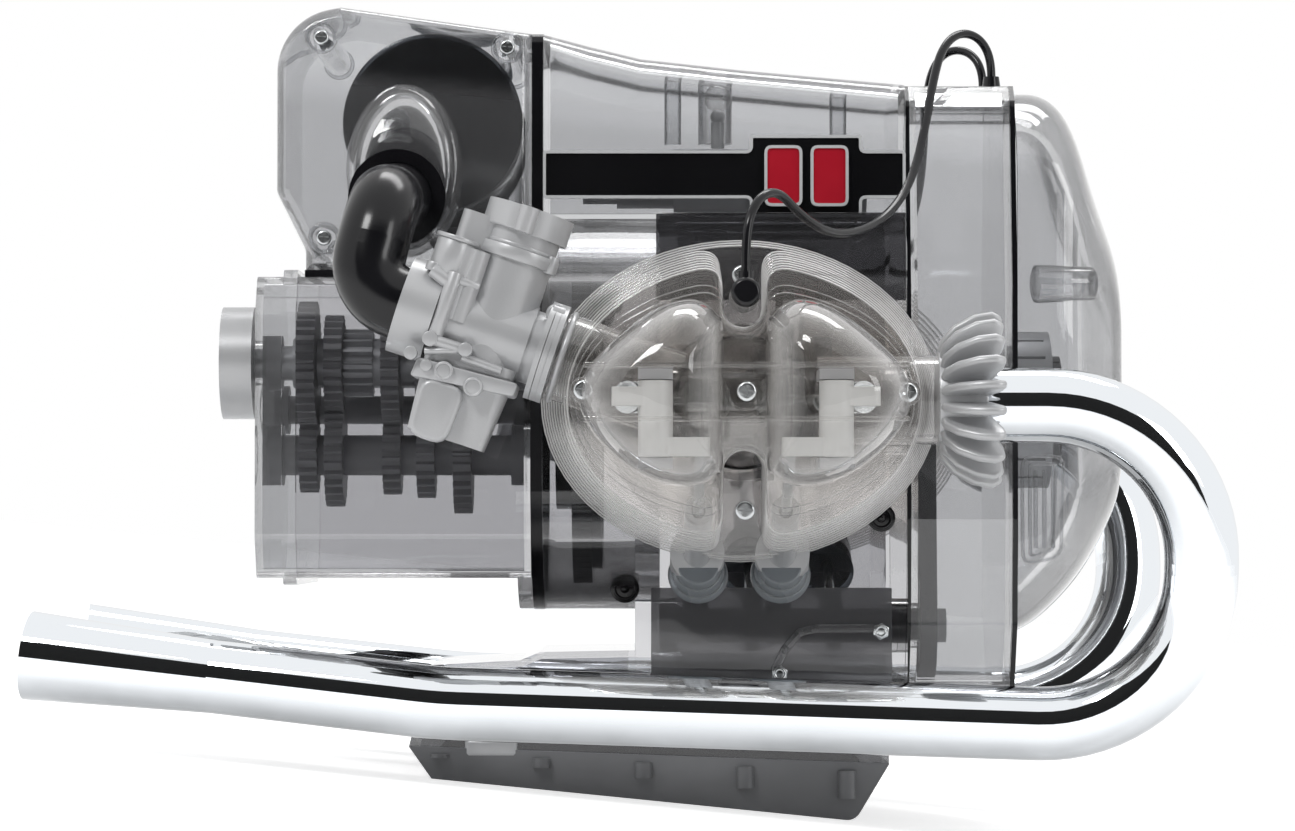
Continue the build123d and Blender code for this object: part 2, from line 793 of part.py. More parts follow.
# Valve gear: valves with springs, rockers on upright shafts, pushrods
def valve(side):
    """A leaning valve, with its spring and the retainer on its stem."""
    retainer_start = valve_length - retainer_thickness * 3
    with BuildPart() as poppet:
        add(rod(on_valve(side, -valve_head_thickness / 2), on_valve(side, valve_head_thickness / 2), valve_head_radius))
        add(rod(on_valve(side, 0), on_valve(side, valve_length), valve_stem_radius))
    spring_radius_end = retainer_start - spring_wire_radius - running_fit
    spring_base = spring_radius_end - spring_height
    retainer = rod(
        on_valve(side, retainer_start),
        on_valve(side, retainer_start + retainer_thickness),
        spring_radius + spring_wire_radius,
        valve_stem_radius + running_fit,
    )
    axis = Vector(*on_valve(side, 1)) - Vector(*on_valve(side, 0))
    coil_plane = Plane(origin=on_valve(side, spring_base), z_dir=axis)
    with BuildPart() as spring:
        with BuildLine():
            coil = Helix(spring_height / spring_turns, spring_height, spring_radius)
        with BuildSketch(Plane(origin=coil @ 0, z_dir=coil % 0)):
            Circle(spring_wire_radius)
        sweep(path=coil)
    return group(poppet.part, retainer, spring.part.moved(coil_plane.location))


print("valve spring gap", spring_height / spring_turns - spring_wire_radius * 2)
rocker_boss_top = 5.0
rocker_boss_bottom = -19.2
rocker_tip_x = valve_head_offset + valve_axis[0] * valve_length


def rocker(side):
    """A rocker arm on its upright shaft: one arm over the pushrod, the other over the valve."""
    arm_tip = rocker_arm_width / 2
    with BuildPart() as arm:
        add(
            rod(
                (side * rocker_x, -rocker_out, rocker_boss_bottom),
                (side * rocker_x, -rocker_out, rocker_boss_top),
                rocker_boss_radius,
            )
        )
        for near_x, height in ((pushrod_x - arm_tip, -pushrod_end_drop), (rocker_tip_x + arm_tip, 0)):
            with BuildSketch(Plane.XZ.offset(rocker_face_out)):
                with Locations((side * (near_x + rocker_x) / 2, height)):
                    Rectangle(abs(rocker_x - near_x), rocker_arm_width)
            extrude(amount=rocker_arm_depth)
        fillet(arm.edges().filter_by(Axis.Z).group_by(Axis.Y)[0], rocker_arm_depth / 4)
        add(
            rod(
                (side * rocker_x, -rocker_out, -through),
                (side * rocker_x, -rocker_out, through),
                rocker_shaft_radius + running_fit,
            ),
            mode=Mode.SUBTRACT,
        )
    return arm.part


pedestal_height = 3.4


def rocker_stand(side):
    """An upright rocker shaft in its two pedestals on the cylinder head."""
    with BuildPart() as posts:
        add(
            rod(
                (side * rocker_x, -rocker_out, rocker_boss_bottom - seat_gap - pedestal_height / 2),
                (side * rocker_x, -rocker_out, rocker_boss_top + seat_gap + pedestal_height),
                rocker_shaft_radius,
            )
        )
        low = rocker_boss_bottom - seat_gap - pedestal_height / 2
        for base in (low, rocker_boss_top + seat_gap + pedestal_height / 2):
            with BuildSketch(Plane.XZ.offset(head_top)):
                with Locations((side * rocker_x, base)):
                    Rectangle(rocker_boss_radius * 2, pedestal_height)
            extrude(amount=rocker_out + rocker_shaft_radius + overrun / 2 - head_top)
    return posts.part


for side, role in ((-1, "intake"), (1, "exhaust")):
    moving = (("valve", valve(side)), ("rocker", rocker(side)), ("pushrod", pushrod(side * pushrod_x)))
    for kind, piece in moving:
        keep(piece, f"{role}_{kind}_right")
        keep(group(to_left(piece)), f"{role}_{kind}_left")
right_stands = group(rocker_stand(-1), rocker_stand(1))
keep(group(right_stands, to_left(right_stands)), "rocker_shafts")

# Crankcase: the block with its bearing walls, and the bell round the flywheel
case_corner = 4.0
shoulder_depth = 12.0
shoulder_width = 10.0
lower_block_rear = -35.5
lower_block_top = -50.0
bore_clearance = 0.5
bore_cut_start = skirt_out - crank_radius * 2 - wall
main_bearing_radius = journal_radius + bearing_wall
cam_bearing_radius = cam_shaft_radius + shaft_bearing_wall
block_cavity_rear = block_rear + bearing_wall
block_cavity_front = block_front - front_bearing_wall

block_points = (
    (-case_half_width, block_bottom),
    (case_half_width, block_bottom),
    (case_half_width, deck_height - shoulder_depth),
    (case_half_width - shoulder_width, deck_height),
    (shoulder_width - case_half_width, deck_height),
    (-case_half_width, deck_height - shoulder_depth),
)


def bell_face(plane, radius, top):
    """The bell's round outline, cut flat at the top and at its sides."""
    with BuildSketch(plane) as face:
        Circle(radius)
        with Locations((0, top - radius)):
            Rectangle((radius + bell_half_width - bell_radius) * 2, radius * 2, mode=Mode.INTERSECT)
    return face.sketch


with BuildPart() as crankcase:
    extrude(rounded_face(Plane.YZ.offset(block_rear), block_points, case_corner), amount=block_front - block_rear)
    extrude(bell_face(Plane.YZ.offset(bell_rear), bell_radius, deck_height), amount=block_rear - bell_rear)
    lower_points = (
        (-case_half_width, block_bottom),
        (case_half_width, block_bottom),
        (case_half_width, lower_block_top),
        (-case_half_width, lower_block_top),
    )
    extrude(
        rounded_face(Plane.YZ.offset(lower_block_rear), lower_points, case_corner),
        amount=block_rear - lower_block_rear,
    )
    extrude(
        bell_face(Plane.YZ.offset(bell_rear), bell_radius - wall, deck_height - wall),
        amount=block_rear - bell_rear,
        mode=Mode.SUBTRACT,
    )
    extrude(
        inset(rounded_face(Plane.YZ.offset(block_cavity_rear), block_points, case_corner), wall),
        amount=block_cavity_front - block_cavity_rear,
        mode=Mode.SUBTRACT,
    )
    with BuildSketch(Plane.YZ.offset(bell_rear)):
        Circle(main_bearing_radius + running_fit)
    extrude(amount=block_front - bell_rear, mode=Mode.SUBTRACT)
    with BuildSketch(Plane.YZ.offset(block_rear)):
        with Locations(cam_centre):
            Circle(cam_bearing_radius + running_fit)
    extrude(amount=block_front - block_rear, mode=Mode.SUBTRACT)
    for bore_x, direction in ((0, -1), (cylinder_stagger, 1)):
        start = (bore_x, direction * bore_cut_start, 0)
        add(rod(start, (bore_x, direction * through, 0), bore / 2 + bore_clearance), mode=Mode.SUBTRACT)
    for x in (-pushrod_x, pushrod_x):
        passage = rod(on_pushrod(x, along_at(bore)), on_pushrod(x, along_at(boot_end)), tube_bore)
        add(passage, mode=Mode.SUBTRACT)
        add(to_left(passage), mode=Mode.SUBTRACT)
keep(crankcase.part, "crankcase")

# Bearings: main and camshaft bearings in the block, shaft bearings in the gearbox
input_centre = (0, 0)
bearings = [
    disc(block_rear, block_cavity_rear, main_bearing_radius, journal_radius + running_fit),
    disc(block_cavity_front, block_front, main_bearing_radius, journal_radius + running_fit),
    disc(block_rear, block_cavity_rear, cam_bearing_radius, cam_shaft_radius + running_fit, cam_centre),
    disc(block_cavity_front, block_front, cam_bearing_radius, cam_shaft_radius + running_fit, cam_centre),
]
rear_cover_inner = rear_cover_rear + wall
gearbox_shafts = (
    (input_centre, input_shaft_radius),
    (lay_centre, lay_shaft_radius),
    (output_centre, output_shaft_radius),
)
for centre, radius in gearbox_shafts:
    for rear in (rear_cover_inner, case_inner_front - shaft_bearing_length):
        bearings.append(
            disc(rear, rear + shaft_bearing_length, radius + shaft_bearing_wall, radius + running_fit, centre)
        )
keep(group(*bearings), "bearings")

# Timing housing in front of the block
timing_points = (
    (-case_half_width * 0.7, block_bottom),
    (case_half_width * 0.7, block_bottom),
    (case_half_width * 0.94, block_bottom * 0.77),
    (case_half_width, block_bottom * 0.4),
    (case_half_width, timing_top * 0.36),
    (case_half_width * 0.82, timing_top * 0.94),
    (case_half_width * 0.68, timing_top),
    (-case_half_width * 0.68, timing_top),
    (-case_half_width * 0.82, timing_top * 0.94),
    (-case_half_width, timing_top * 0.36),
    (-case_half_width, block_bottom * 0.4),
    (-case_half_width * 0.94, block_bottom * 0.77),
)
gasket_width = 4.0


def timing_face(rear):
    """The outline shared by the timing housing, its gaskets and the block's front."""
    return rounded_face(Plane.YZ.offset(rear), timing_points, case_corner)


with BuildPart() as timing_housing:
    extrude(timing_face(timing_rear), amount=timing_front - timing_rear)
    extrude(
        inset(timing_face(timing_rear + wall), wall),
        amount=timing_front - timing_rear - wall * 2,
        mode=Mode.SUBTRACT,
    )
    with BuildSketch(Plane.YZ.offset(timing_rear)):
        Circle(nose_radius + overrun)
    extrude(amount=timing_front - timing_rear, mode=Mode.SUBTRACT)
    with BuildSketch(Plane.YZ.offset(timing_rear)):
        with Locations(cam_centre):
            Circle(cam_shaft_radius + overrun)
    extrude(amount=wall * 2, mode=Mode.SUBTRACT)
keep(timing_housing.part, "timing_housing")

# Front cover, bulging forward over the alternator
cover_sections = (
    (0.0, 0.982, 0.798, 1.0),
    (0.31, 0.966, 0.721, 0.975),
    (0.48, 0.901, 0.65, 0.94),
    (0.62, 0.779, 0.577, 0.88),
    (0.8175, 0.571, 0.44, 0.74),
    (0.95, 0.29, 0.25, 0.46),
    (1.0, 0.12, 0.06, 0.16),
)
front_cover_depth = front_cover_nose - front_cover_rear
cover_corner_share = 0.55


def front_dome(draw_in, shift):
    """The cover's bulging form, built up from rounded sections that shrink towards the nose."""
    with BuildPart() as dome:
        for depth, top, bottom, width in cover_sections:
            high = timing_top * top - draw_in
            low = block_bottom * bottom + draw_in
            half = case_half_width * width - draw_in
            with BuildSketch(Plane.YZ.offset(front_cover_rear + front_cover_depth * depth - shift)):
                with Locations((0, (high + low) / 2)):
                    RectangleRounded(half * 2, high - low, min(half, (high - low) / 2) * cover_corner_share)
        loft()
    return dome.part


with BuildPart() as front_cover:
    add(front_dome(0, 0))
    add(front_dome(wall, wall), mode=Mode.SUBTRACT)
    with BuildSketch(Plane.YZ.offset(front_cover_rear - wall * 2)):
        Rectangle(through, through)
    extrude(amount=wall * 2, mode=Mode.SUBTRACT)
keep(front_cover.part, "front_cover")

# Starter cover on top of the block, its roof falling towards the front
starter_rear = -67.0
starter_front = block_front
starter_set_in = 7.5
starter_half_width = case_half_width - starter_set_in
starter_roof = ((0.0, 128.6), (0.13, 124.3), (0.27, 120.1), (0.54, 116.4), (1.0, 111.2))
starter_edge_radius = 10.0
starter_length = starter_front - starter_rear
post_radius = 3.0
post_places = (0.36, 0.83)
lamp_radius = 6.0
lamp_place = 0.48


def starter_block(draw_in, floor_height, edge_radius):
    """The cover's form under its falling roof, with its long upper edges rounded."""
    roof = [(starter_rear + starter_length * share, height - draw_in) for share, height in starter_roof]
    roof[0] = (roof[0][0] + draw_in, roof[0][1])
    roof[-1] = (roof[-1][0] - draw_in, roof[-1][1])
    points = [(roof[0][0], floor_height), *roof, (roof[-1][0], floor_height)]
    with BuildPart() as block:
        with BuildSketch(Plane.XZ):
            Polygon(*points, align=None)
        extrude(amount=starter_half_width - draw_in, both=True)
        roof_faces = block.faces().filter_by(lambda face: face.normal_at().Z > 1 / 2)
        side_edges = [
            edge for edge in roof_faces.edges()
            if abs(abs(edge.center().Y) - (starter_half_width - draw_in)) < seat_gap
        ]
        fillet(side_edges, edge_radius)
    return block.part


with BuildPart() as starter_cover:
    add(starter_block(0, deck_height, starter_edge_radius))
    add(starter_block(wall, deck_height - overrun, starter_edge_radius - wall), mode=Mode.SUBTRACT)
    for share, radius in ((post_places[0], post_radius), (post_places[1], post_radius), (lamp_place, lamp_radius)):
        with BuildSketch(Plane.XY.offset(starter_roof[-1][1] - wall)):
            with Locations((starter_rear + starter_length * share, 0)):
                Circle(radius)
        extrude(amount=-post_radius * 5)
        with BuildSketch(Plane.XY.offset(starter_roof[-1][1] - wall)):
            with Locations((starter_rear + starter_length * share, 0)):
                Circle(radius)
        extrude(until=Until.NEXT)
keep(starter_cover.part, "starter_cover")

# Starter motor lying on the deck under the cover
motor_radius = 13.0
motor_height = deck_height + seat_gap + motor_radius
motor_rear = -22.0
motor_front = 46.0
motor_nose_radius = 8.0
motor_nose_rear = -42.0
pinion_radius = 6.0
pinion_rear = -54.0
motor_centre = (0, motor_height)
with BuildPart() as starter_motor:
    add(disc(motor_rear, motor_front, motor_radius, centre=motor_centre))
    fillet(starter_motor.edges().filter_by(GeomType.CIRCLE).group_by(Axis.X)[-1], wall)
    add(disc(motor_nose_rear, motor_rear, motor_nose_radius, centre=motor_centre))
    add(gear(pinion_rear, motor_nose_rear - pinion_rear, 9, 0, motor_centre))
keep(starter_motor.part, "starter_motor")

# Airbox in two halves that meet on the centre line, with a round filter between them
airbox_front = -71.0
airbox_bottom = 47.0
airbox_half_width = 45.0
airbox_points = (
    (airbox_front, airbox_bottom),
    (airbox_front, 128.8),
    (-137.0, 138.0),
    (-159.0, 134.0),
    (-159.0, 74.0),
    (-149.0, 54.0),
    (-149.0, airbox_bottom),
)
airbox_corner = 22.0
airbox_small_corner = 6.0
airbox_edge_radius = 5.0
airbox_screw_radius = 4.8
airbox_screws = ((-143.4, 127.0), (-79.5, 123.5), (-142.4, 58.0))
filter_centre = (-105.3, 97.8)
filter_radius = 31.0
filter_pleats = 48
filter_wall = 9.0
bulge_centre = (-114.7, 81.0)
bulge_sizes = ((20.5, 30.0), (19.5, 28.5), (17.0, 21.0))
bulge_depths = (-2.4, 7.0, 15.0)
bulge_drop = (0.0, -0.8, -7.0)


def airbox_face(plane, draw_in):
    """The airbox seen from the side, with its rear upper corner well rounded."""
    with BuildSketch(plane) as face:
        Polygon(*airbox_points, align=None)
        fillet(face.vertices().sort_by_distance(airbox_points[3])[0], airbox_corner)
        for corner in airbox_points[4:6]:
            fillet(face.vertices().sort_by_distance(corner)[0], airbox_small_corner)
        if draw_in:
            offset(amount=-draw_in, kind=Kind.INTERSECTION, mode=Mode.REPLACE)
    return face.sketch


def bulge(draw_in, shift):
    """The oval swelling on an airbox half that the inlet elbow leaves from."""
    with BuildPart() as form:
        for (half_width, half_height), depth, drop in zip(bulge_sizes, bulge_depths, bulge_drop):
            with BuildSketch(Plane.XZ.offset(airbox_half_width + depth - shift)):
                with Locations((bulge_centre[0], bulge_centre[1] + drop)):
                    Ellipse(half_width - draw_in, half_height - draw_in)
        loft()
    return form.part


with BuildPart() as airbox_shell:
    extrude(airbox_face(Plane.XZ, 0), amount=airbox_half_width)
    fillet(airbox_shell.faces().sort_by(Axis.Y)[0].edges(), airbox_edge_radius)
    extrude(airbox_face(Plane.XZ, wall), amount=airbox_half_width - wall, mode=Mode.SUBTRACT)
    with BuildSketch(Plane.XZ):
        with Locations(*airbox_screws):
            Circle(airbox_screw_radius)
    extrude(amount=airbox_half_width - wall / 2)
with BuildPart() as airbox_bulge:
    add(bulge(0, 0))
    add(bulge(wall, wall), mode=Mode.SUBTRACT)
    with BuildSketch(Plane.XZ.offset(airbox_half_width - wall * 3)):
        Rectangle(through * 2, through * 2)
    extrude(amount=wall * 2, mode=Mode.SUBTRACT)
with BuildPart() as airbox_right:
    add(airbox_shell.part)
    add(airbox_bulge.part)
with BuildPart() as airbox_left:
    mirror(airbox_shell.part, about=Plane.XZ)
    add(to_left(airbox_bulge.part))
keep(airbox_right.part, "airbox_right")
keep(airbox_left.part, "airbox_left")

with BuildPart() as air_filter:
    with BuildSketch(Plane.XZ.offset(wall - airbox_half_width)):
        with Locations(filter_centre):
            Circle(filter_radius)
            Circle(filter_radius - filter_wall, mode=Mode.SUBTRACT)
            with PolarLocations(filter_radius, filter_pleats):
                Rectangle(wall, wall / 2, mode=Mode.SUBTRACT)
    extrude(amount=(airbox_half_width - wall) * 2)
keep(air_filter.part, "air_filter")

# Gearbox housing, its round front flange, and the rear cover
gearbox_points = (
    (-case_half_width * 0.87, gearbox_bottom),
    (case_half_width * 0.87, gearbox_bottom),
    (case_half_width, gearbox_bottom * 0.76),
    (case_half_width, gearbox_top * 0.7),
    (case_half_width * 0.84, gearbox_top),
    (-case_half_width * 0.84, gearbox_top),
    (-case_half_width, gearbox_top * 0.7),
    (-case_half_width, gearbox_bottom * 0.76),
)
flange_depth = 5.0
cover_lip = 2.4


def gearbox_face(rear):
    """The gearbox seen from the rear."""
    return rounded_face(Plane.YZ.offset(rear), gearbox_points, case_corner)


with BuildPart() as gearbox_housing:
    extrude(gearbox_face(gearbox_rear), amount=gearbox_front - gearbox_rear)
    extrude(
        bell_face(Plane.YZ.offset(gearbox_front - flange_depth), bell_radius, gearbox_top),
        amount=flange_depth,
    )
    extrude(
        inset(gearbox_face(gearbox_rear), wall),
        amount=gearbox_front - gearbox_rear - wall,
        mode=Mode.SUBTRACT,
    )
    with BuildSketch(Plane.YZ.offset(gearbox_front - wall)):
        Circle(input_shaft_radius + shaft_bearing_wall / 2)
    extrude(amount=wall, mode=Mode.SUBTRACT)
keep(gearbox_housing.part, "gearbox_housing")

with BuildPart() as gearbox_rear_cover:
    extrude(gearbox_face(rear_cover_rear), amount=gearbox_rear - rear_cover_rear)
    extrude(inset(gearbox_face(gearbox_rear - cover_lip * 2), -cover_lip), amount=cover_lip * 2)
    extrude(
        inset(gearbox_face(rear_cover_inner), wall),
        amount=gearbox_rear - rear_cover_inner,
        mode=Mode.SUBTRACT,
    )
    with BuildSketch(Plane.YZ.offset(rear_cover_rear)):
        with Locations(output_centre):
            Circle(output_shaft_radius + shaft_bearing_wall / 2)
    extrude(amount=wall, mode=Mode.SUBTRACT)
keep(gearbox_rear_cover.part, "gearbox_rear_cover")

# Sump body under the block, and the oil pan that the engine stands on
sump_half_width = 52.0
pan_top_rear = (-112.6, -116.0)
pan_top_front = (51.2, -122.0)
pan_corner = 5.0
sump_points = (
    pan_top_rear,
    (-105.5, -88.5),
    (-74.7, -86.8),
    (-67.9, -84.0),
    (lower_block_rear, -83.4),
    (lower_block_rear, block_bottom),
    (pan_top_front[0], block_bottom),
    pan_top_front,
)
pan_points = (pan_top_rear, pan_rear_foot, pan_front_foot, pan_top_front)
pan_pillar_radius = 3.0
pan_pillars = (0.02, 0.26, 0.5, 0.74, 0.98)
hanger_radius = 3.5
hanger_x = -103.0

inner_pan = inset(rounded_face(Plane.XZ, pan_points), wall)
with BuildPart() as oil_pan:
    with BuildSketch(Plane.XZ):
        Polygon(*pan_points, align=None)
    extrude(amount=pan_half_width, both=True)
    fillet(oil_pan.edges().filter_by(Axis.Y).group_by(Axis.Z)[0], pan_corner)
    extrude(inner_pan, amount=pan_half_width - wall, both=True, mode=Mode.SUBTRACT)
    extrude(
        inner_pan.moved(Location((0, 0, wall * 2))),
        amount=pan_half_width - wall,
        both=True,
        mode=Mode.SUBTRACT,
    )
    for share in pan_pillars:
        foot = between(pan_rear_foot, pan_front_foot, share)
        top = between(pan_top_rear, pan_top_front, share)
        for side in (-1, 1):
            line = ((foot[0], side * (pan_half_width + pan_pillar_radius / 3), foot[1] + pan_corner * 3 / 2),
                    (foot[0], side * (pan_half_width + pan_pillar_radius / 3), top[1] - wall))
            add(rod(*line, pan_pillar_radius))
keep(oil_pan.part, "oil_pan")

sump_face = rounded_face(Plane.XZ, sump_points)
inner_sump = inset(sump_face, wall)
with BuildPart() as sump_body:
    extrude(sump_face, amount=sump_half_width, both=True)
    extrude(inner_sump, amount=sump_half_width - wall, both=True, mode=Mode.SUBTRACT)
    extrude(
        inner_sump.moved(Location((0, 0, -wall * 2))),
        amount=sump_half_width - wall,
        both=True,
        mode=Mode.SUBTRACT,
    )

# Exhaust pipes: forward from the head, round a tight bend, and back under the engine
pipe_radius = 12.25
pipe_wall = 1.2
pipe_tail_radius = 15.0
pipe_flare_share = 0.55
pipe_start = port_end + seat_gap
pipe_front = 150.5
pipe_bend_radius = 51.5
pipe_top_drop = 1.7
pipe_bottom_drop = 108.0
pipe_bottom_out = 104.0
pipe_knee = (-100.0, -92.0, -100.0)
pipe_end = (-239.0, -76.0, -84.5)
pipe_knee_radius = 120.0


def exhaust_pipe(start):
    """The right-hand pipe, which leaves the head at a place along the engine."""
    corners = (
        (start, -port_axis_out, -pipe_top_drop),
        (pipe_front, -port_axis_out, -pipe_top_drop),
        (pipe_front, -pipe_bottom_out, -pipe_bottom_drop),
        pipe_knee,
        between(pipe_knee, pipe_end, pipe_flare_share),
    )
    with BuildPart() as pipe:
        with BuildLine():
            path = FilletPolyline(*corners, radius=(pipe_bend_radius, pipe_bend_radius, pipe_knee_radius))
        with BuildSketch(Plane(origin=path @ 0, z_dir=path % 0)):
            Circle(pipe_radius)
            Circle(pipe_radius - pipe_wall, mode=Mode.SUBTRACT)
        sweep(path=path)
    tail_axis = Vector(*pipe_end) - Vector(*pipe_knee)
    tail_start = between(pipe_knee, pipe_end, pipe_flare_share)
    with BuildPart() as tail:
        for thinner in (0, pipe_wall):
            with BuildSketch(Plane(origin=tail_start, z_dir=tail_axis)):
                Circle(pipe_radius - thinner)
            with BuildSketch(Plane(origin=pipe_end, z_dir=tail_axis)):
                Circle(pipe_tail_radius - thinner)
            loft(mode=Mode.SUBTRACT if thinner else Mode.ADD)
    with BuildPart() as whole:
        add(pipe.part)
        add(tail.part)
    return whole.part


right_pipe = exhaust_pipe(pipe_start)
left_pipe = to_left(exhaust_pipe(pipe_start + cylinder_stagger), 0)
keep(group(right_pipe, left_pipe), "exhaust_pipes")

hanger_share = (pipe_knee[0] - hanger_x) / (pipe_knee[0] - pipe_end[0])
hanger_seat = between(pipe_knee, pipe_end, hanger_share)
with BuildPart() as hangers:
    add(sump_body.part)
    for side in (-1, 1):
        start = (hanger_x, side * (sump_half_width - wall / 2), hanger_seat[2])
        add(rod(start, (hanger_x, side * (-hanger_seat[1] - pipe_radius), hanger_seat[2]), hanger_radius))
keep(hangers.part, "sump_body")

# Finned nuts that hold the pipes to the heads
nut_rear = pipe_start
nut_length = 19.0
nut_hub_radius = 16.5
nut_fin_radius = 28.5
nut_fin_count = 16
nut_fin_thickness = 2.2
with BuildPart() as exhaust_nut:
    nut_plane = Plane(origin=(nut_rear, -port_axis_out, -pipe_top_drop), x_dir=(0, 1, 0), z_dir=(1, 0, 0))
    with BuildSketch(nut_plane):
        Circle(nut_hub_radius)
        with PolarLocations((nut_hub_radius + nut_fin_radius) / 2, nut_fin_count):
            SlotOverall(nut_fin_radius - nut_hub_radius + overrun * 2, nut_fin_thickness)
    extrude(amount=nut_length)
    chamfer(exhaust_nut.faces().sort_by(Axis.X)[0].edges().filter_by(GeomType.CIRCLE).sort_by(SortBy.RADIUS)[-1:], wall / 2)
    with BuildSketch(nut_plane):
        Circle(pipe_radius + seat_gap)
    extrude(amount=nut_length, mode=Mode.SUBTRACT)
keep(group(exhaust_nut.part, to_left(exhaust_nut.part)), "exhaust_nuts")

# Valve covers: two rounded lobes joined by a band across
lobe_points = ((6, -27), (6, 28), (24, 34), (43, 24), (53, 6), (53, -6), (43, -24), (24, -33))
lobe_corner = 9.0
lobe_depth = 43.0
lobe_edge_radius = 8.0
cover_base_depth = 4.0
cover_base_share = 0.8
band_half_width = 56.0
band_low = -8.0
band_high = 8.5
band_depth = 33.0
cover_wall = 1.8


def lobe(side, draw_in, shift):
    """One rounded lobe, which is widest beside the middle of the cover."""
    corners = [(side * x, z) for x, z in lobe_points]
    face = rounded_face(Plane.XZ.offset(head_top - shift), corners, lobe_corner)
    with BuildPart() as form:
        extrude(inset(face, draw_in) if draw_in else face, amount=lobe_depth)
        fillet(form.faces().sort_by(Axis.Y)[0].edges(), lobe_edge_radius - draw_in)
    return form.part


def cover_form(draw_in, shift):
    """The lobes and the band of a valve cover, drawn in by a wall's thickness for its inside."""
    with BuildPart() as band:
        with BuildSketch(Plane.XZ.offset(head_top - shift)):
            with Locations((0, (band_high + band_low) / 2)):
                Rectangle((band_half_width - draw_in) * 2, band_high - band_low - draw_in * 2)
        extrude(amount=band_depth, taper=6)
    with BuildPart() as whole:
        add(lobe(-1, draw_in, shift))
        add(lobe(1, draw_in, shift))
        add(band.part)
    return whole.part


with BuildPart() as valve_cover:
    add(cover_form(0, 0))
    extrude(fin_face(Plane.XZ.offset(head_top), cover_base_share), amount=cover_base_depth)
    add(cover_form(cover_wall, cover_wall), mode=Mode.SUBTRACT)
    extrude(
        fin_face(Plane.XZ.offset(head_top), cover_base_share * 0.8), amount=cover_base_depth - cover_wall, mode=Mode.SUBTRACT
    )
    for height, depth in ((plug_height, 0), (-plug_height - wall, cover_base_depth)):
        with BuildSketch(Plane.XZ.offset(head_top + depth)):
            with Locations((0, height)):
                Circle(plug_well_radius)
            with Locations((0, height * 3 / 2)):
                Rectangle(plug_well_radius * 2, plug_height)
        extrude(amount=band_depth, mode=Mode.SUBTRACT)
keep(group(valve_cover.part, to_left(valve_cover.part)), "valve_covers")

# Inlet manifolds, carburettors and rubber elbows, on the sloping inlet line
manifold_radius = 12.0
manifold_wall = 2.5
manifold_ribs = (0.04, 0.24, 0.44)
manifold_rib_radius = 16.5
manifold_rib_width = 1.8
carburettor_centre = 86.7
slide_radius = 12.25
manifold_start = port_end + seat_gap
manifold_end = carburettor_centre - slide_radius - seat_gap
bell_mouth_radius = 16.0
bell_mouth_start = 19.0
bell_mouth_end = 31.0
bell_socket_depth = 5.0
elbow_radius = 12.0
throat_radius = 13.0
throat_bore = 8.0
slide_top = 34.0
cap_radius = 14.35
cap_height = 8.5
cap_screw_radius = 3.2
bowl_flange = (30.0, 26.0, 3.0)
bowl_shift = -3.0
bowl_flange_drop = 12.5
bowl_size = (30.0, 24.0, 25.0)
bowl_taper = 5.0
bowl_corner = 4.0
pump_size = (13.0, 16.0, 12.0)
pump_offset = (-14.5, 24.0)
jet_tube_radius = 3.4
rear, up = polar(carburettor_centre, intake_slope)
carburettor_plane = Plane(
    origin=(-rear, -port_axis_out, up - intake_axis_drop),
    x_dir=(cos(radians(intake_slope)), 0, -sin(radians(intake_slope))),
    z_dir=(0, -1, 0),
)


def across(u, v, out=0):
    """A point beside the carburettor: along its bore, up its slide, and out from the engine."""
    spot = carburettor_plane.from_local_coords(Vector(u, v, out))
    return (spot.X, spot.Y, spot.Z)


with BuildPart() as manifold:
    add(rod(on_intake(manifold_start), on_intake(manifold_end), manifold_radius))
    for share in manifold_ribs:
        start = manifold_start + (manifold_end - manifold_start) * share
        add(rod(on_intake(start), on_intake(start + manifold_rib_width), manifold_rib_radius))
    add(
        rod(on_intake(manifold_start), on_intake(manifold_end), manifold_radius - manifold_wall),
        mode=Mode.SUBTRACT,
    )
keep(group(manifold.part, to_left(manifold.part)), "intake_manifolds")

throat_end = slide_radius + seat_gap
with BuildPart() as carburettor_body:
    add(rod(across(-bell_mouth_start, 0), across(throat_end, 0), throat_radius))
    add(rod(across(-bell_mouth_end, 0), across(-bell_mouth_start, 0), bell_mouth_radius))
    add(rod(across(0, -bowl_flange_drop), across(0, slide_top), slide_radius))
    with BuildSketch(Plane(across(bowl_shift, -bowl_flange_drop), carburettor_plane.x_dir, carburettor_plane.y_dir)):
        RectangleRounded(bowl_flange[0], bowl_flange[1], bowl_corner)
    extrude(amount=bowl_flange[2])
    with BuildSketch(Plane(across(0, pump_offset[1]), carburettor_plane.x_dir, carburettor_plane.y_dir)):
        with Locations((pump_offset[0], 0)):
            RectangleRounded(pump_size[0], pump_size[1], bowl_corner)
    extrude(amount=pump_size[2], both=False)
    for u in (pump_offset[0], pump_offset[0] + jet_tube_radius):
        tube_out = slide_radius - jet_tube_radius / 2
        add(rod(across(u, 0, tube_out), across(u, pump_offset[1], tube_out), jet_tube_radius))
    socket = rod(
        across(-bell_mouth_end, 0), across(bell_socket_depth - bell_mouth_end, 0), elbow_radius + running_fit
    )
    add(socket, mode=Mode.SUBTRACT)
    add(rod(across(-bell_mouth_end, 0), across(throat_end, 0), throat_bore), mode=Mode.SUBTRACT)
with BuildPart() as carburettor_cap:
    add(rod(across(0, slide_top), across(0, slide_top + cap_height), cap_radius))
    for out in (-1, 1):
        add(rod(across(0, slide_top, out * cap_radius), across(0, slide_top + cap_height, out * cap_radius), cap_screw_radius))
    fillet(carburettor_cap.edges().filter_by(GeomType.CIRCLE).sort_by(SortBy.RADIUS)[-1:], wall / 3)
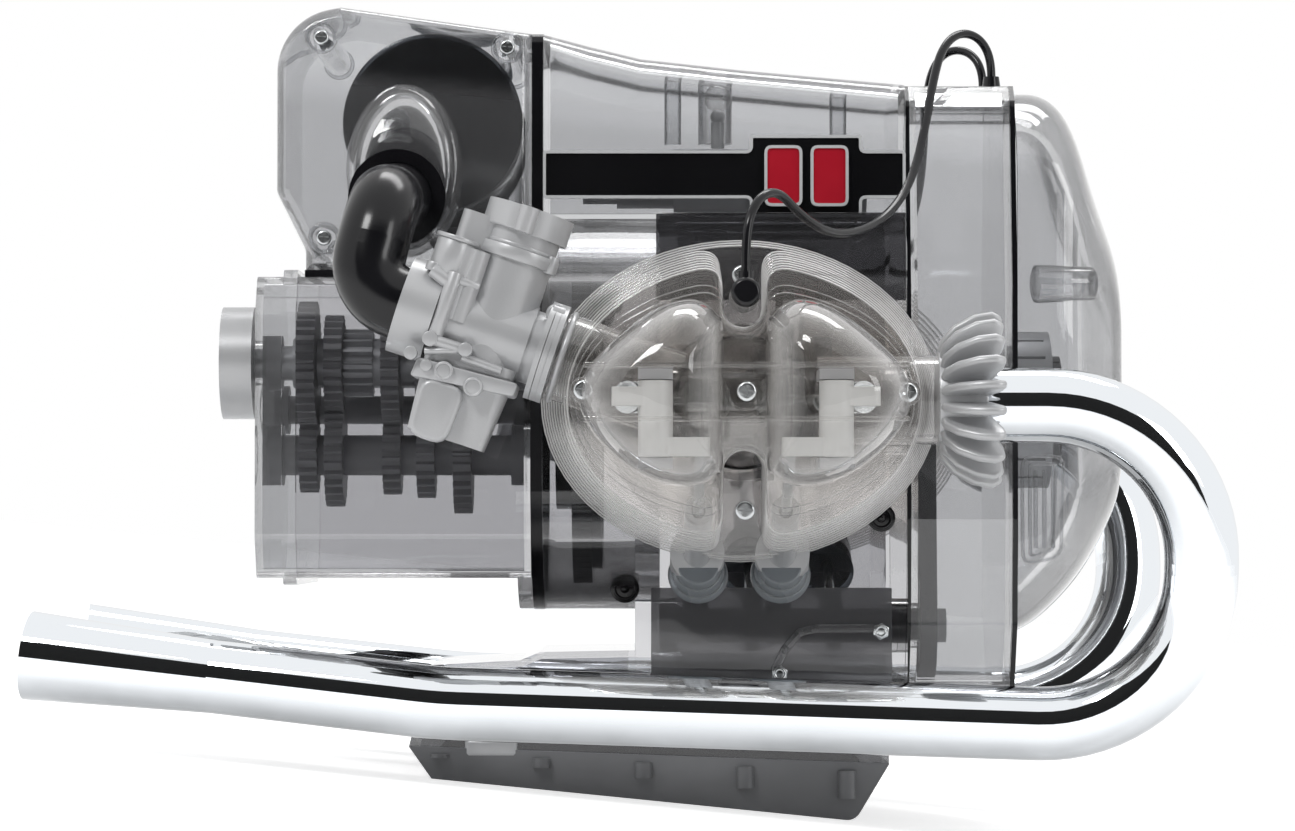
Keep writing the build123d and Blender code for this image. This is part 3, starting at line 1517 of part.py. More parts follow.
with BuildPart() as float_bowl:
    with BuildSketch(Plane(across(bowl_shift, -bowl_flange_drop), carburettor_plane.x_dir, -carburettor_plane.y_dir)):
        RectangleRounded(bowl_size[0], bowl_size[1], bowl_corner)
    extrude(amount=bowl_size[2], taper=bowl_taper)
right_carburettor = group(carburettor_body.part, carburettor_cap.part, float_bowl.part)
keep(group(right_carburettor, to_left(right_carburettor)), "carburettors")

elbow_wall = 2.4
elbow_turn_length = 14.0
elbow_mouth_radius = 16.5
elbow_mouth_length = 5.0
elbow_start = (-116.4, -60.0, 70.5)
elbow_corners = ((-117.5, -117.0, 65.5), across(-bell_mouth_end - elbow_turn_length, 0))
elbow_radii = (18.0, 14.0)
elbow_end = across(-bell_mouth_end + bell_socket_depth, 0)
with BuildPart() as elbow:
    with BuildLine():
        elbow_path = FilletPolyline(elbow_start, *elbow_corners, elbow_end, radius=elbow_radii)
    with BuildSketch(Plane(origin=elbow_path @ 0, z_dir=elbow_path % 0)):
        Circle(elbow_radius)
        Circle(elbow_radius - elbow_wall, mode=Mode.SUBTRACT)
    sweep(path=elbow_path)
    with BuildSketch(Plane.XZ.offset(-elbow_start[1])):
        Rectangle(through, through)
    extrude(amount=-elbow_mouth_length, mode=Mode.SUBTRACT)
with BuildPart() as elbow_ring:
    with BuildSketch(Plane(origin=elbow_start, z_dir=(0, -1, 0))):
        Circle(elbow_mouth_radius)
        Circle(elbow_radius + running_fit, mode=Mode.SUBTRACT)
    extrude(amount=elbow_mouth_length)
right_elbow = group(elbow.part, elbow_ring.part)
keep(group(right_elbow, to_left(right_elbow)), "intake_elbows")

# Rubber caps on the spark plugs, the grommets of the leads, and the leads themselves
plug_cap_radius = 4.8
plug_cap_end = 168.0
plug_insulator_radius = 2.6
lead_radius = 1.5
lead_drop_out = 163.0
grommet_x = 89.0
grommet_out = 20.0
grommet_radius = 3.4
grommet_height = 5.0
with BuildPart() as plug_cap:
    add(rod((0, -plug_well_out, plug_height), (0, -plug_cap_end, plug_height), plug_cap_radius))
    fillet(plug_cap.faces().sort_by(Axis.Y)[0].edges(), plug_cap_radius / 3)
    add(
        rod(
            (0, -lead_drop_out, plug_height),
            (0, -lead_drop_out, plug_height + plug_cap_radius + overrun),
            plug_cap_radius / 2,
        )
    )
grommet_top = timing_top + grommet_height
with BuildPart() as grommet:
    with BuildSketch(Plane.XY.offset(timing_top)):
        with Locations((grommet_x, -grommet_out)):
            Circle(grommet_radius)
    extrude(amount=grommet_height, taper=8)
right_cap = group(plug_cap.part)
keep(group(right_cap, to_left(right_cap), grommet.part, to_left(grommet.part, 0)), "plug_caps")

lead_bottom = plug_height + plug_cap_radius + overrun
right_lead_points = (
    (grommet_x, -grommet_out, grommet_top),
    (grommet_x, -grommet_out, 123.0),
    (84.0, -24.0, 130.0),
    (76.5, -30.0, 130.5),
    (70.5, -37.0, 124.0),
    (67.0, -46.0, 112.0),
    (64.0, -56.0, 97.0),
    (60.0, -68.0, 81.0),
    (53.5, -82.0, 67.5),
    (44.0, -98.0, 58.5),
    (33.5, -115.0, 54.5),
    (25.0, -129.0, 55.5),
    (17.5, -139.5, 60.0),
    (11.4, -147.8, 66.0),
    (6.0, -155.0, 65.2),
    (1.9, -160.5, 59.4),
    (0.0, -lead_drop_out, 50.9),
    (0.0, -lead_drop_out, lead_bottom),
)
left_lead_points = (
    (grommet_x, grommet_out, grommet_top),
    (grommet_x, grommet_out, 123.0),
    (84.0, 24.0, 130.0),
    (76.5, 30.0, 130.5),
    (71.5, 37.0, 124.0),
    (70.0, 46.0, 112.0),
    (70.0, 56.0, 97.0),
    (69.0, 68.0, 81.0),
    (65.5, 82.0, 67.5),
    (59.5, 98.0, 58.5),
    (51.5, 115.0, 54.5),
    (44.5, 129.0, 55.5),
    (37.5, 139.5, 60.0),
    (31.4, 147.8, 66.0),
    (26.0, 155.0, 65.2),
    (21.9, 160.5, 59.4),
    (cylinder_stagger, lead_drop_out, 50.9),
    (cylinder_stagger, lead_drop_out, lead_bottom),
)


def lead(points, side):
    """A free lead: a tube of straight runs joined by arcs as large as its runs allow."""
    spots = [Vector(*point) for point in points]
    radii = []
    for before, corner, after in zip(spots, spots[1:], spots[2:]):
        turn = (corner - before).get_angle(after - corner)
        shorter = min((corner - before).length, (after - corner).length)
        radii.append(0.45 * shorter / tan(radians(turn / 2)))
    print("lead", side, "smallest radius", round(min(radii), 1), [round(radius, 1) for radius in radii])
    print("lead", side, "longest run", round(max((b - a).length for a, b in zip(spots, spots[1:])), 1))
    with BuildPart() as tube:
        with BuildLine():
            path = FilletPolyline(*points, radius=radii)
        with BuildSketch(Plane(origin=path @ 0, z_dir=path % 0)):
            Circle(lead_radius)
        sweep(path=path)
    print("lead", side, "length", round(path.length, 1), "volume share", tube.part.volume / path.length / pi / lead_radius**2)
    return tube.part


keep(lead(right_lead_points, "right"), "ht_lead_right")
keep(lead(left_lead_points, "left"), "ht_lead_left")

# Gaskets between the housings, seen as thin black lines
with BuildPart() as gaskets:
    bell_gasket = bell_face(Plane.YZ.offset(gearbox_front), bell_radius, gearbox_top)
    extrude(bell_gasket, amount=bell_rear - gearbox_front)
    extrude(inset(bell_gasket, gasket_width), amount=bell_rear - gearbox_front, mode=Mode.SUBTRACT)
    for rear, front in ((block_front, timing_rear), (timing_front, front_cover_rear)):
        extrude(timing_face(rear), amount=front - rear)
        extrude(inset(timing_face(rear), gasket_width), amount=front - rear, mode=Mode.SUBTRACT)
airbox_seat_length = airbox_front - airbox_points[-1][0]
upper_points = (
    (-airbox_half_width, gearbox_top),
    (airbox_half_width, gearbox_top),
    (airbox_half_width, starter_roof[0][1]),
    (-airbox_half_width, starter_roof[0][1]),
)
with BuildPart() as airbox_seat:
    with BuildSketch(Plane.XY.offset(gearbox_top)):
        with Locations(((airbox_front + airbox_points[-1][0]) / 2, 0)):
            Rectangle(airbox_seat_length, airbox_half_width * 2)
            Rectangle(airbox_seat_length - gasket_width * 2, (airbox_half_width - gasket_width) * 2, mode=Mode.SUBTRACT)
    extrude(amount=airbox_bottom - gearbox_top)
upper_face = rounded_face(Plane.YZ.offset(airbox_front), upper_points, case_corner)
with BuildPart() as upper_gasket:
    extrude(upper_face, amount=starter_rear - airbox_front)
    extrude(inset(upper_face, gasket_width), amount=starter_rear - airbox_front, mode=Mode.SUBTRACT)
keep(group(gaskets.part, airbox_seat.part, upper_gasket.part), "gaskets")

# Name plate with a raised rim, left bare
plate_low = 71.6
plate_high = 87.4
plate_panel = (3.9, 42.2, 64.8, 92.9)
plate_thickness = 2.0
plate_rim = 1.2
plate_rim_height = 0.6
with BuildPart() as badge_plate:
    with BuildSketch(Plane.XZ.offset(starter_half_width)):
        with Locations(((starter_rear + starter_front) / 2, (plate_low + plate_high) / 2)):
            Rectangle(starter_length, plate_high - plate_low)
        with Locations(((plate_panel[0] + plate_panel[1]) / 2, (plate_panel[2] + plate_panel[3]) / 2)):
            Rectangle(plate_panel[1] - plate_panel[0], plate_panel[3] - plate_panel[2])
    extrude(amount=plate_thickness)
    rim_face = badge_plate.faces().sort_by(Axis.Y)[0]
    extrude(rim_face, amount=plate_rim_height)
    extrude(inset(rim_face, plate_rim), amount=plate_rim_height, mode=Mode.SUBTRACT)
keep(badge_plate.part, "badge_plate")

# Screws, all the same pan head with a cross recess
screw_head_radius = 4.2
screw_head_height = 2.0
screw_cross = 3.4
screw_cross_width = 0.9
cover_screw_out = head_top + band_depth
screw_places = (
    ((0.0, -cover_screw_out, 1.0), (0, -1, 0)),
    ((0.0, -head_top - cover_base_depth, -plug_height - wall), (0, -1, 0)),
)


def screw(spot, direction):
    """A pan head screw's head at its place on a cover."""
    plane = Plane(origin=spot, z_dir=direction)
    with BuildPart() as head_form:
        with BuildSketch(plane):
            Circle(screw_head_radius)
        extrude(amount=screw_head_height)
        outer = head_form.faces().filter_by(GeomType.PLANE).sort_by_distance(spot)[-1]
        fillet(outer.edges(), screw_head_height / 2)
        with BuildSketch(plane.offset(screw_head_height / 2)):
            Rectangle(screw_cross, screw_cross_width)
            Rectangle(screw_cross_width, screw_cross)
        extrude(amount=screw_head_height, mode=Mode.SUBTRACT)
    return head_form.part


screws = []
for spot, direction in screw_places:
    right_screw = screw(spot, direction)
    screws += [right_screw, to_left(right_screw)]
for x, z in airbox_screws:
    right_screw = screw((x, -airbox_half_width, z), (0, -1, 0))
    screws += [right_screw, to_left(right_screw, 0)]
keep(group(*screws), "screws")
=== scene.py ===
# %% [markdown]
# This is a see-through teaching model of a flat twin engine, moulded in clear and smoked plastic, with
# grey gears inside and chromed exhaust pipes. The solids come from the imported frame, and each one
# stays where it is: this script gives it its finish, and adds the pieces that need a finer form.

# %% load the frame
import bpy
import math
from mathutils import Matrix, Vector


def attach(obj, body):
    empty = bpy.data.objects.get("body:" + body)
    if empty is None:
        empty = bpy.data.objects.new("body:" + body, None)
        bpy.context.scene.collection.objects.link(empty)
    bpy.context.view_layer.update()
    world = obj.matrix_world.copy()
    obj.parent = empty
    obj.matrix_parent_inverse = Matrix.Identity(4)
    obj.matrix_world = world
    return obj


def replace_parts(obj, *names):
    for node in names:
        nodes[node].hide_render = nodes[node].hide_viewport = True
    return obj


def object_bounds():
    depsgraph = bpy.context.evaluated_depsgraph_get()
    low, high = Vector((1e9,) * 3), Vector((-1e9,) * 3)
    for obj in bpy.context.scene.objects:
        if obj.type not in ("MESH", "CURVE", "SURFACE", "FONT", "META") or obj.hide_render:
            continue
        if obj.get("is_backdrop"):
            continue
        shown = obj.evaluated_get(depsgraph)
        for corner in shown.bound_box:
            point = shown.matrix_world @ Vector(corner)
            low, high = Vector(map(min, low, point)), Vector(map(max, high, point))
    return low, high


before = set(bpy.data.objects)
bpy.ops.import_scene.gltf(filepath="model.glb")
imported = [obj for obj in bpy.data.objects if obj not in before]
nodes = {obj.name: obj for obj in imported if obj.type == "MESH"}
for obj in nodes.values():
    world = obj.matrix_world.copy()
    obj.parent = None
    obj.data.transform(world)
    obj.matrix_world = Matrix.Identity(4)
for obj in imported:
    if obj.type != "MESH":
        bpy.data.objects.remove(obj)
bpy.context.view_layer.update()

bpy.ops.object.select_all(action="DESELECT")

# %% [markdown]
# The engine is easiest to describe along its own crankshaft, in millimetres, but it stands nose up on
# its oil pan. One function turns a place in the engine into a place in the frame, so every later number
# can be a size that a ruler would read on the engine.

# %% places in the engine
MM = 0.001
PAN_TILT = math.radians(5.7)
PAN_REAR_FOOT = (-104.8, -127.0)
PAN_LENGTH = 145.0
PAN_CENTRE = (
    PAN_REAR_FOOT[0] + PAN_LENGTH / 2 * math.cos(PAN_TILT),
    PAN_REAR_FOOT[1] - PAN_LENGTH / 2 * math.sin(PAN_TILT),
)
STAND = Matrix.Rotation(-PAN_TILT, 4, "Y") @ Matrix.Translation(
    (-PAN_CENTRE[0] * MM, 0, -PAN_CENTRE[1] * MM)
)


def at(x, y, z):
    """A place in the frame, in metres, from a place in the engine in millimetres."""
    return STAND @ Vector((x * MM, y * MM, z * MM))


def along(x, y, z):
    """A direction in the frame from a direction in the engine."""
    return (STAND.to_3x3() @ Vector((x, y, z))).normalized()


print("crankshaft centre", [round(v, 4) for v in at(0, 0, 0)])

# %% [markdown]
# The camera comes first. The photograph was taken level with the crankcase from the engine's right, far
# enough away that the cylinder stands only a tenth larger than the middle of the engine.

# %% camera
CAMERA_PLACE = (-31.4, -1600.0, -42.4)
CAMERA_AIM = (-31.2, 0.0, -1.9)
CAMERA_LENS = 125.9

bpy.ops.object.camera_add(location=at(*CAMERA_PLACE))
camera = bpy.context.object
camera.name = "camera"
sight = (at(*CAMERA_AIM) - at(*CAMERA_PLACE)).normalized()
right = sight.cross(along(0, 0, 1)).normalized()
upward = right.cross(sight)
camera.rotation_euler = Matrix((right, upward, -sight)).transposed().to_euler()
camera.data.lens = CAMERA_LENS
camera.data.clip_end = 50
bpy.context.scene.camera = camera
print("camera", [round(v, 3) for v in camera.location])

# %% [markdown]
# Shader sums read best as sums. This small class wraps a socket, so that an expression on it adds the
# Math nodes, and one method on a finish adds every other kind of node.

# %% writing finishes as expressions


class Value:
    """A socket that ordinary arithmetic can be written with."""

    def __init__(self, tree, socket):
        self.tree = tree
        self.socket = socket

    def sum(self, operation, first, second):
        node = self.tree.nodes.new("ShaderNodeMath")
        node.operation = operation
        for place, value in enumerate((first, second)):
            if isinstance(value, Value):
                self.tree.links.new(value.socket, node.inputs[place])
            else:
                node.inputs[place].default_value = value
        return Value(self.tree, node.outputs[0])

    def __add__(self, other):
        return self.sum("ADD", self, other)

    def __rsub__(self, other):
        return self.sum("SUBTRACT", other, self)

    def __mul__(self, other):
        return self.sum("MULTIPLY", self, other)

    def __pow__(self, other):
        return self.sum("POWER", self, other)


MIX_LOW, MIX_HIGH, MIX_RESULT = 6, 7, 2


class Finish:
    """A material that is built up from nodes."""

    def __init__(self, name):
        self.material = bpy.data.materials.new(name)
        self.material.use_nodes = True
        self.tree = self.material.node_tree
        self.shader = self.tree.nodes["Principled BSDF"]
        self.output = self.tree.nodes["Material Output"]

    def node(self, kind, settings=None, **inputs):
        """Adds a node: its settings first, then its sockets' values or links."""
        node = self.tree.nodes.new("ShaderNode" + kind)
        for name, value in (settings or {}).items():
            setattr(node, name, value)
        for name, value in inputs.items():
            self.feed(node, name.replace("_", " "), value)
        return node

    def feed(self, node, name, value):
        """Gives one socket a value or a link."""
        socket = node.inputs[name]
        if isinstance(value, Value):
            self.tree.links.new(value.socket, socket)
        elif isinstance(value, bpy.types.NodeSocket):
            self.tree.links.new(value, socket)
        else:
            socket.default_value = value

    def out(self, node, name=0):
        """An output of a node, ready for arithmetic."""
        return Value(self.tree, node.outputs[name])

    def place(self):
        """The point on the piece, in metres."""
        return self.out(self.node("TexCoord"), "Object")

    def noise(self, scale, detail=3.0):
        """Soft random mottling, about one patch in each metre divided by the scale."""
        return self.out(self.node("TexNoise", Vector=self.place(), Scale=scale, Detail=detail))

    def bump(self, height, distance):
        """A surface that is raised where the height is greater."""
        node = self.node("Bump", Height=height, Distance=distance, Strength=1.0)
        self.feed(self.shader, "Normal", self.out(node))

    def between(self, low, high, share):
        """A colour between two, by a share."""
        mix = self.node("Mix", {"data_type": "RGBA"}, Factor=share)
        for place, color in ((MIX_LOW, low), (MIX_HIGH, high)):
            if isinstance(color, Value):
                self.tree.links.new(color.socket, mix.inputs[place])
            else:
                mix.inputs[place].default_value = (*color, 1)
        return Value(self.tree, mix.outputs[MIX_RESULT])

    def set(self, **inputs):
        """Gives the main shader's sockets their values or links."""
        for name, value in inputs.items():
            self.feed(self.shader, name.replace("_", " "), value)


print("finish helpers are ready")

# %% [markdown]
# Clear plastic shows what lies behind it, a little greyer, and shows the lamps on its face. Real glass
# with real refraction would need a long render through so many walls, so each surface here lets most light
# straight through, and adds a mirror share that grows at a glancing angle. In place of the refraction, its
# colour goes dark towards its edges: painted shade, for the dark lines that the edges of a thick wall
# show. The walls stay clearest near the top of the engine, and below a set height they are more solid and
# greyer: on the clear walls this is painted shade, for the darker room that they show lower down.

# %% see-through plastics
# The power of the painted shade towards the edges, and the heights over which the walls' extra solidity
# low down fades out; on the clear walls that extra is painted shade.
PAINTED_EDGE_SHADE_POWER = 3.0
HAZE_AND_PAINTED_SHADE_TOP = (0.232, 0.242)
PLASTIC_IOR = 1.49


def see_through(name, tint, edge_colors, edge_share, edge_power, roughness, haze_and_painted_shade, inner_shine=0.0):
    """Plastic that passes a tinted share of the light behind it, and is solid where seen edge on."""
    finish = Finish(name)
    glancing = finish.out(finish.node("LayerWeight", Blend=0.5), "Facing")
    mottle = finish.noise(60.0)
    # Painted shade: the colour darkens towards the edges, in place of the dark lines that refraction draws
    # in a thick wall.
    finish.set(
        Base_Color=finish.between(*edge_colors, glancing ** PAINTED_EDGE_SHADE_POWER),
        Roughness=mottle * 0.06 + roughness,
    )
    finish.bump(finish.noise(45.0, 1.0), 0.00012)
    clear = finish.node("BsdfTransparent", Color=(*tint, 1))
    height = finish.node("SeparateXYZ", Vector=finish.place())
    # Painted shade on the clear walls: below the set heights the wall turns more solid and greyer, for the
    # darker room seen through it lower down.
    haze_and_painted_shade_by_height = finish.node(
        "MapRange",
        {"interpolation_type": "SMOOTHSTEP"},
        Value=finish.out(height, "Z"),
        From_Min=HAZE_AND_PAINTED_SHADE_TOP[0],
        From_Max=HAZE_AND_PAINTED_SHADE_TOP[1],
        To_Min=haze_and_painted_shade[1],
        To_Max=haze_and_painted_shade[0],
    )
    solid = glancing ** edge_power * edge_share + finish.out(haze_and_painted_shade_by_height, "Result")
    gloss = finish.node("BsdfPrincipled", Base_Color=(1, 1, 1, 1), Metallic=1.0, Roughness=roughness)
    finish.feed(gloss, "Normal", finish.out(finish.tree.nodes["Bump"]))
    behind = finish.out(finish.node("NewGeometry"), "Backfacing")
    fresnel = finish.out(finish.node("Fresnel", IOR=PLASTIC_IOR))
    mirror = fresnel * (1 - behind * (1 - inner_shine))
    surface = clear
    for share, added in ((solid, finish.shader), (mirror, gloss)):
        mixed = finish.node("MixShader")
        finish.feed(mixed, 0, share)
        finish.tree.links.new(surface.outputs[0], mixed.inputs[1])
        finish.tree.links.new(added.outputs[0], mixed.inputs[2])
        surface = mixed
    finish.tree.links.new(surface.outputs[0], finish.output.inputs["Surface"])
    return finish.material


CLEAR_EDGE = ((0.42, 0.42, 0.43), (0.03, 0.03, 0.032))
COVER_EDGE = ((0.85, 0.84, 0.83), (0.3, 0.29, 0.28))
FIN_EDGE = ((0.95, 0.935, 0.92), (0.16, 0.155, 0.15))
# The fin rim's colours, pale face on and black edge on, are a painted highlight and painted shade.
RIM_PAINTED_HIGHLIGHT_AND_SHADE = ((1.0, 0.99, 0.98), (0.01, 0.01, 0.01))
SMOKE_EDGE = ((0.2, 0.2, 0.205), (0.02, 0.02, 0.021))
BLACK_EDGE = ((0.1, 0.1, 0.105), (0.02, 0.02, 0.021))
BOOT_EDGE = ((0.42, 0.46, 0.49), (0.05, 0.06, 0.07))
# The pair after the roughness is the share of solid plastic above and below the set heights; the clear
# plastic's larger share below is painted shade.
clear_plastic = see_through(
    "clear_plastic", (0.885, 0.888, 0.895), CLEAR_EDGE, 0.85, 2.4, 0.03, (0.01, 0.10), 0.7
)
cover_plastic = see_through(
    "cover_plastic", (0.98, 0.978, 0.975), COVER_EDGE, 0.8, 2.0, 0.02, (0.0, 0.0)
)
fin_plastic = see_through(
    "fin_plastic", (0.99, 0.988, 0.986), FIN_EDGE, 0.9, 1.6, 0.05, (0.004, 0.006)
)
fin_rim = see_through("fin_rim", (0.93, 0.93, 0.93), RIM_PAINTED_HIGHLIGHT_AND_SHADE, 1.0, 0.9, 0.05, (0.12, 0.12), 0.4)
smoked_plastic = see_through(
    "smoked_plastic", (0.82, 0.82, 0.83), SMOKE_EDGE, 0.85, 2.2, 0.03, (0.0, 0.04), 0.7
)
filter_plastic = see_through(
    "filter_plastic", (0.42, 0.44, 0.46), BLACK_EDGE, 0.9, 1.6, 0.12, (0.25, 0.75)
)
shield_plastic = see_through(
    "shield_plastic", (0.32, 0.32, 0.33), BLACK_EDGE, 0.9, 2.0, 0.1, (0.12, 0.12)
)
panel_plastic = see_through(
    "panel_plastic", (0.6, 0.6, 0.61), CLEAR_EDGE, 0.9, 2.0, 0.1, (0.55, 0.55)
)
boot_rubber = see_through("boot_rubber", (0.5, 0.53, 0.56), BOOT_EDGE, 0.9, 1.4, 0.25, (0.35, 0.35))
print("see-through plastics are ready")

# %% [markdown]
# The opaque mouldings are silver-grey plastic with a pearly sheen, flat grey for the gears, milky white
# for the rockers and black rubber. None of them is one flat colour: the melt leaves faint clouds, and the
# skin of the mould shows as a very fine grain.

# %% opaque plastics and rubber


def moulded(name, low, high, roughness, grain, cloud=35.0, metallic=0.0, coat=0.0, specular=0.5):
    """Moulded plastic or rubber, clouded between two colours, with a grain of the mould's skin."""
    finish = Finish(name)
    clouds = finish.noise(cloud)
    finish.set(
        Base_Color=finish.between(low, high, clouds),
        Roughness=clouds * 0.12 + roughness,
        Metallic=metallic,
        Coat_Weight=coat,
        Coat_Roughness=0.15,
        Specular_IOR_Level=specular,
    )
    finish.bump(finish.noise(1400.0, 2.0), grain)
    return finish.material


SKIN = 0.00003
FINE_SKIN = 0.00002
POLISHED_SKIN = 0.00001
silver_plastic = moulded(
    "silver_plastic", (0.45, 0.455, 0.465), (0.6, 0.605, 0.615), 0.28, SKIN, metallic=0.25
)
silver_trim = moulded(
    "silver_trim", (0.62, 0.63, 0.64), (0.75, 0.76, 0.77), 0.25, FINE_SKIN, metallic=0.2
)
gear_plastic = moulded("gear_plastic", (0.36, 0.36, 0.37), (0.48, 0.48, 0.49), 0.35, SKIN)
dark_plastic = moulded("dark_plastic", (0.03, 0.03, 0.032), (0.06, 0.06, 0.062), 0.4, 0.00004)
pan_plastic = moulded("pan_plastic", (0.17, 0.172, 0.18), (0.25, 0.253, 0.262), 0.3, SKIN)
white_plastic = moulded("white_plastic", (0.6, 0.6, 0.59), (0.74, 0.74, 0.73), 0.3, FINE_SKIN)
gloss_black = moulded(
    "gloss_black", (0.004, 0.004, 0.005), (0.009, 0.009, 0.01), 0.12, POLISHED_SKIN, specular=0.3
)
gloss_red = moulded(
    "gloss_red", (0.42, 0.006, 0.02), (0.55, 0.01, 0.028), 0.2, POLISHED_SKIN, coat=0.5
)
black_rubber = moulded(
    "black_rubber", (0.004, 0.004, 0.005), (0.01, 0.01, 0.012), 0.14, POLISHED_SKIN, specular=0.35
)
print("opaque plastics are ready")

# %% [markdown]
# Chrome plate is a mirror, so what it shows is the studio. A very slight waviness in it breaks up the
# reflections as the polished tube does. Its colour is also made darker below and at its rim: this is a
# painted reflection of the shaded floor and dark surroundings, to give the dark lines that the pipes have
# in the photograph. The screws are zinc plated, which is duller and brushed.

# %% metals


def plated(name, low, high, roughness, waves, wave_height, under=1.0):
    """A plated metal whose polish varies softly; its colour can be darker where it faces down and at its
    glancing rim, a painted reflection of the shaded floor and dark surroundings.
    """
    finish = Finish(name)
    mottle = finish.noise(30.0)
    facing = finish.node("SeparateXYZ", Vector=finish.out(finish.node("TexCoord"), "Normal"))
    level = finish.node(
        "MapRange",
        {"interpolation_type": "SMOOTHSTEP"},
        Value=finish.out(facing, "Z"),
        From_Min=-1.0,
        From_Max=-0.1,
    )
    # Painted reflection: the colour darkens where the chrome faces down, for the shaded floor that it
    # would show there.
    dark = [color * under for color in low]
    painted_floor_reflection = finish.between(dark, low, finish.out(level, "Result"))
    mixed = finish.between(painted_floor_reflection, high, mottle * 0.5)
    # Painted reflection too: the colour darkens towards the glancing rim, for the dark edge lines of the
    # pipes.
    glancing = finish.out(finish.node("LayerWeight", Blend=0.5), "Facing")
    finish.set(
        Base_Color=finish.between(mixed, dark, glancing ** 8.0 * (1 - under)),
        Roughness=mottle * roughness + roughness / 3,
        Metallic=1.0,
    )
    finish.bump(finish.noise(waves, 1.0), wave_height)
    return finish.material


# The chrome's darker underside and rim are a painted reflection.
chrome = plated("chrome_plate", (0.84, 0.87, 0.9), (0.86, 0.89, 0.92), 0.03, 22.0, 0.00006, under=0.25)
screw_steel = plated("screw_steel", (0.5, 0.52, 0.53), (0.66, 0.67, 0.67), 0.28, 900.0, 0.00002)
print("metals are ready")

# %% [markdown]
# Each solid now takes the finish that its real piece has. The clear shells are the covers and the
# cylinders; the crankcase, the gearbox and the sump are smoked.

# %% finish of each solid
FINISH_OF = {
    clear_plastic: """airbox_left airbox_right starter_cover front_cover timing_housing valve_covers
        gearbox_rear_cover""",
    fin_plastic: "cylinders cylinder_heads",
    smoked_plastic: "crankcase gearbox_housing sump_body piston_left piston_right",
    silver_plastic: """carburettors intake_manifolds exhaust_nuts output_shaft alternator_stator
        starter_motor conrod_left conrod_right pushrod_tubes crankshaft""",
    gear_plastic: """input_shaft layshaft output_gear_first output_gear_second output_gear_third
        output_gear_fourth bearings camshaft rocker_shafts crank_plug_left crank_plug_right""",
    dark_plastic: "flywheel timing_chain air_filter alternator_rotor badge_plate",
    pan_plastic: "oil_pan",
    white_plastic: """exhaust_rocker_left exhaust_rocker_right intake_rocker_left intake_rocker_right""",
    chrome: "exhaust_pipes",
    black_rubber: "intake_elbows plug_caps gaskets ht_lead_left ht_lead_right",
    screw_steel: """screws exhaust_valve_left exhaust_valve_right intake_valve_left intake_valve_right
        exhaust_pushrod_left exhaust_pushrod_right intake_pushrod_left intake_pushrod_right""",
}
for finish, names in FINISH_OF.items():
    for name in names.split():
        mesh = nodes[name].data
        mesh.materials.clear()
        mesh.materials.append(finish)
print("dressed", sum(len(names.split()) for names in FINISH_OF.values()), "solids")

# %% [markdown]
# A few helpers keep the modelling cells short. Each starts from a Blender primitive or an extruded
# outline, rounds its edges, names the piece, gives it its finish and lets it ride on its body.

# %% modelling helpers
STAGGER = 20.0
ACROSS = Vector((0, 1, 0))


def on_side(side, x, out, z):
    """A place on the right (side -1) or left (side 1) cylinder, a distance out from the crankshaft."""
    return at(x + (STAGGER if side > 0 else 0), side * out, z)


def edit():
    """Opens the active piece in edit mode with everything selected."""
    bpy.ops.object.mode_set(mode="EDIT")
    bpy.ops.mesh.select_all(action="SELECT")


def done():
    """Leaves edit mode with all faces turned outward."""
    bpy.ops.mesh.select_all(action="SELECT")
    bpy.ops.mesh.normals_make_consistent(inside=False)
    bpy.ops.object.mode_set(mode="OBJECT")


def soften(width, segments=2, slot=-1):
    """Rounds the sharp edges of the active piece; the rounding can take a finish slot of its own."""
    bpy.ops.object.modifier_add(type="BEVEL")
    bevel = bpy.context.object.modifiers[-1]
    bevel.width = width * MM
    bevel.segments = segments
    bevel.limit_method = "ANGLE"
    bevel.angle_limit = math.radians(40)
    bevel.material = slot
    bpy.ops.object.modifier_apply(modifier=bevel.name)


def settle(name, finish, body="engine", smooth=40, replaces=()):
    """Names the active piece, fixes it in place and gives it its finish and body."""
    piece = bpy.context.object
    bpy.ops.object.transform_apply(location=True, rotation=True, scale=True)
    piece.name = name
    piece.data.name = name
    if not piece.data.materials:
        piece.data.materials.append(finish)
    bpy.ops.object.shade_smooth_by_angle(angle=math.radians(smooth))
    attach(piece, body)
    if replaces:
        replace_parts(piece, *replaces)
    bpy.ops.object.select_all(action="DESELECT")
    return piece


def rod(start, end, radius, sides=40, tip=None):
    """A round rod between two places in the frame, as the active piece; with a tip radius it tapers."""
    bpy.ops.object.select_all(action="DESELECT")
    way = end - start
    place = {"location": (start + end) / 2, "rotation": way.to_track_quat("Z", "Y").to_euler()}
    if tip is None:
        bpy.ops.mesh.primitive_cylinder_add(vertices=sides, radius=radius * MM, depth=way.length, **place)
    else:
        bpy.ops.mesh.primitive_cone_add(
            vertices=sides, radius1=radius * MM, radius2=tip * MM, depth=way.length, **place
        )
    return bpy.context.object


def ring(centre, way, major, minor, sides=48):
    """A round ring about a place, as the active piece."""
    bpy.ops.object.select_all(action="DESELECT")
    bpy.ops.mesh.primitive_torus_add(
        location=centre,
        rotation=way.to_track_quat("Z", "Y").to_euler(),
        major_radius=major * MM,
        minor_radius=minor * MM,
        major_segments=sides,
        minor_segments=12,
    )
    return bpy.context.object


def ball(centre, radius):
    """A round ball, as the active piece."""
    bpy.ops.object.select_all(action="DESELECT")
    bpy.ops.mesh.primitive_uv_sphere_add(segments=32, ring_count=16, radius=radius * MM, location=centre)
    return bpy.context.object


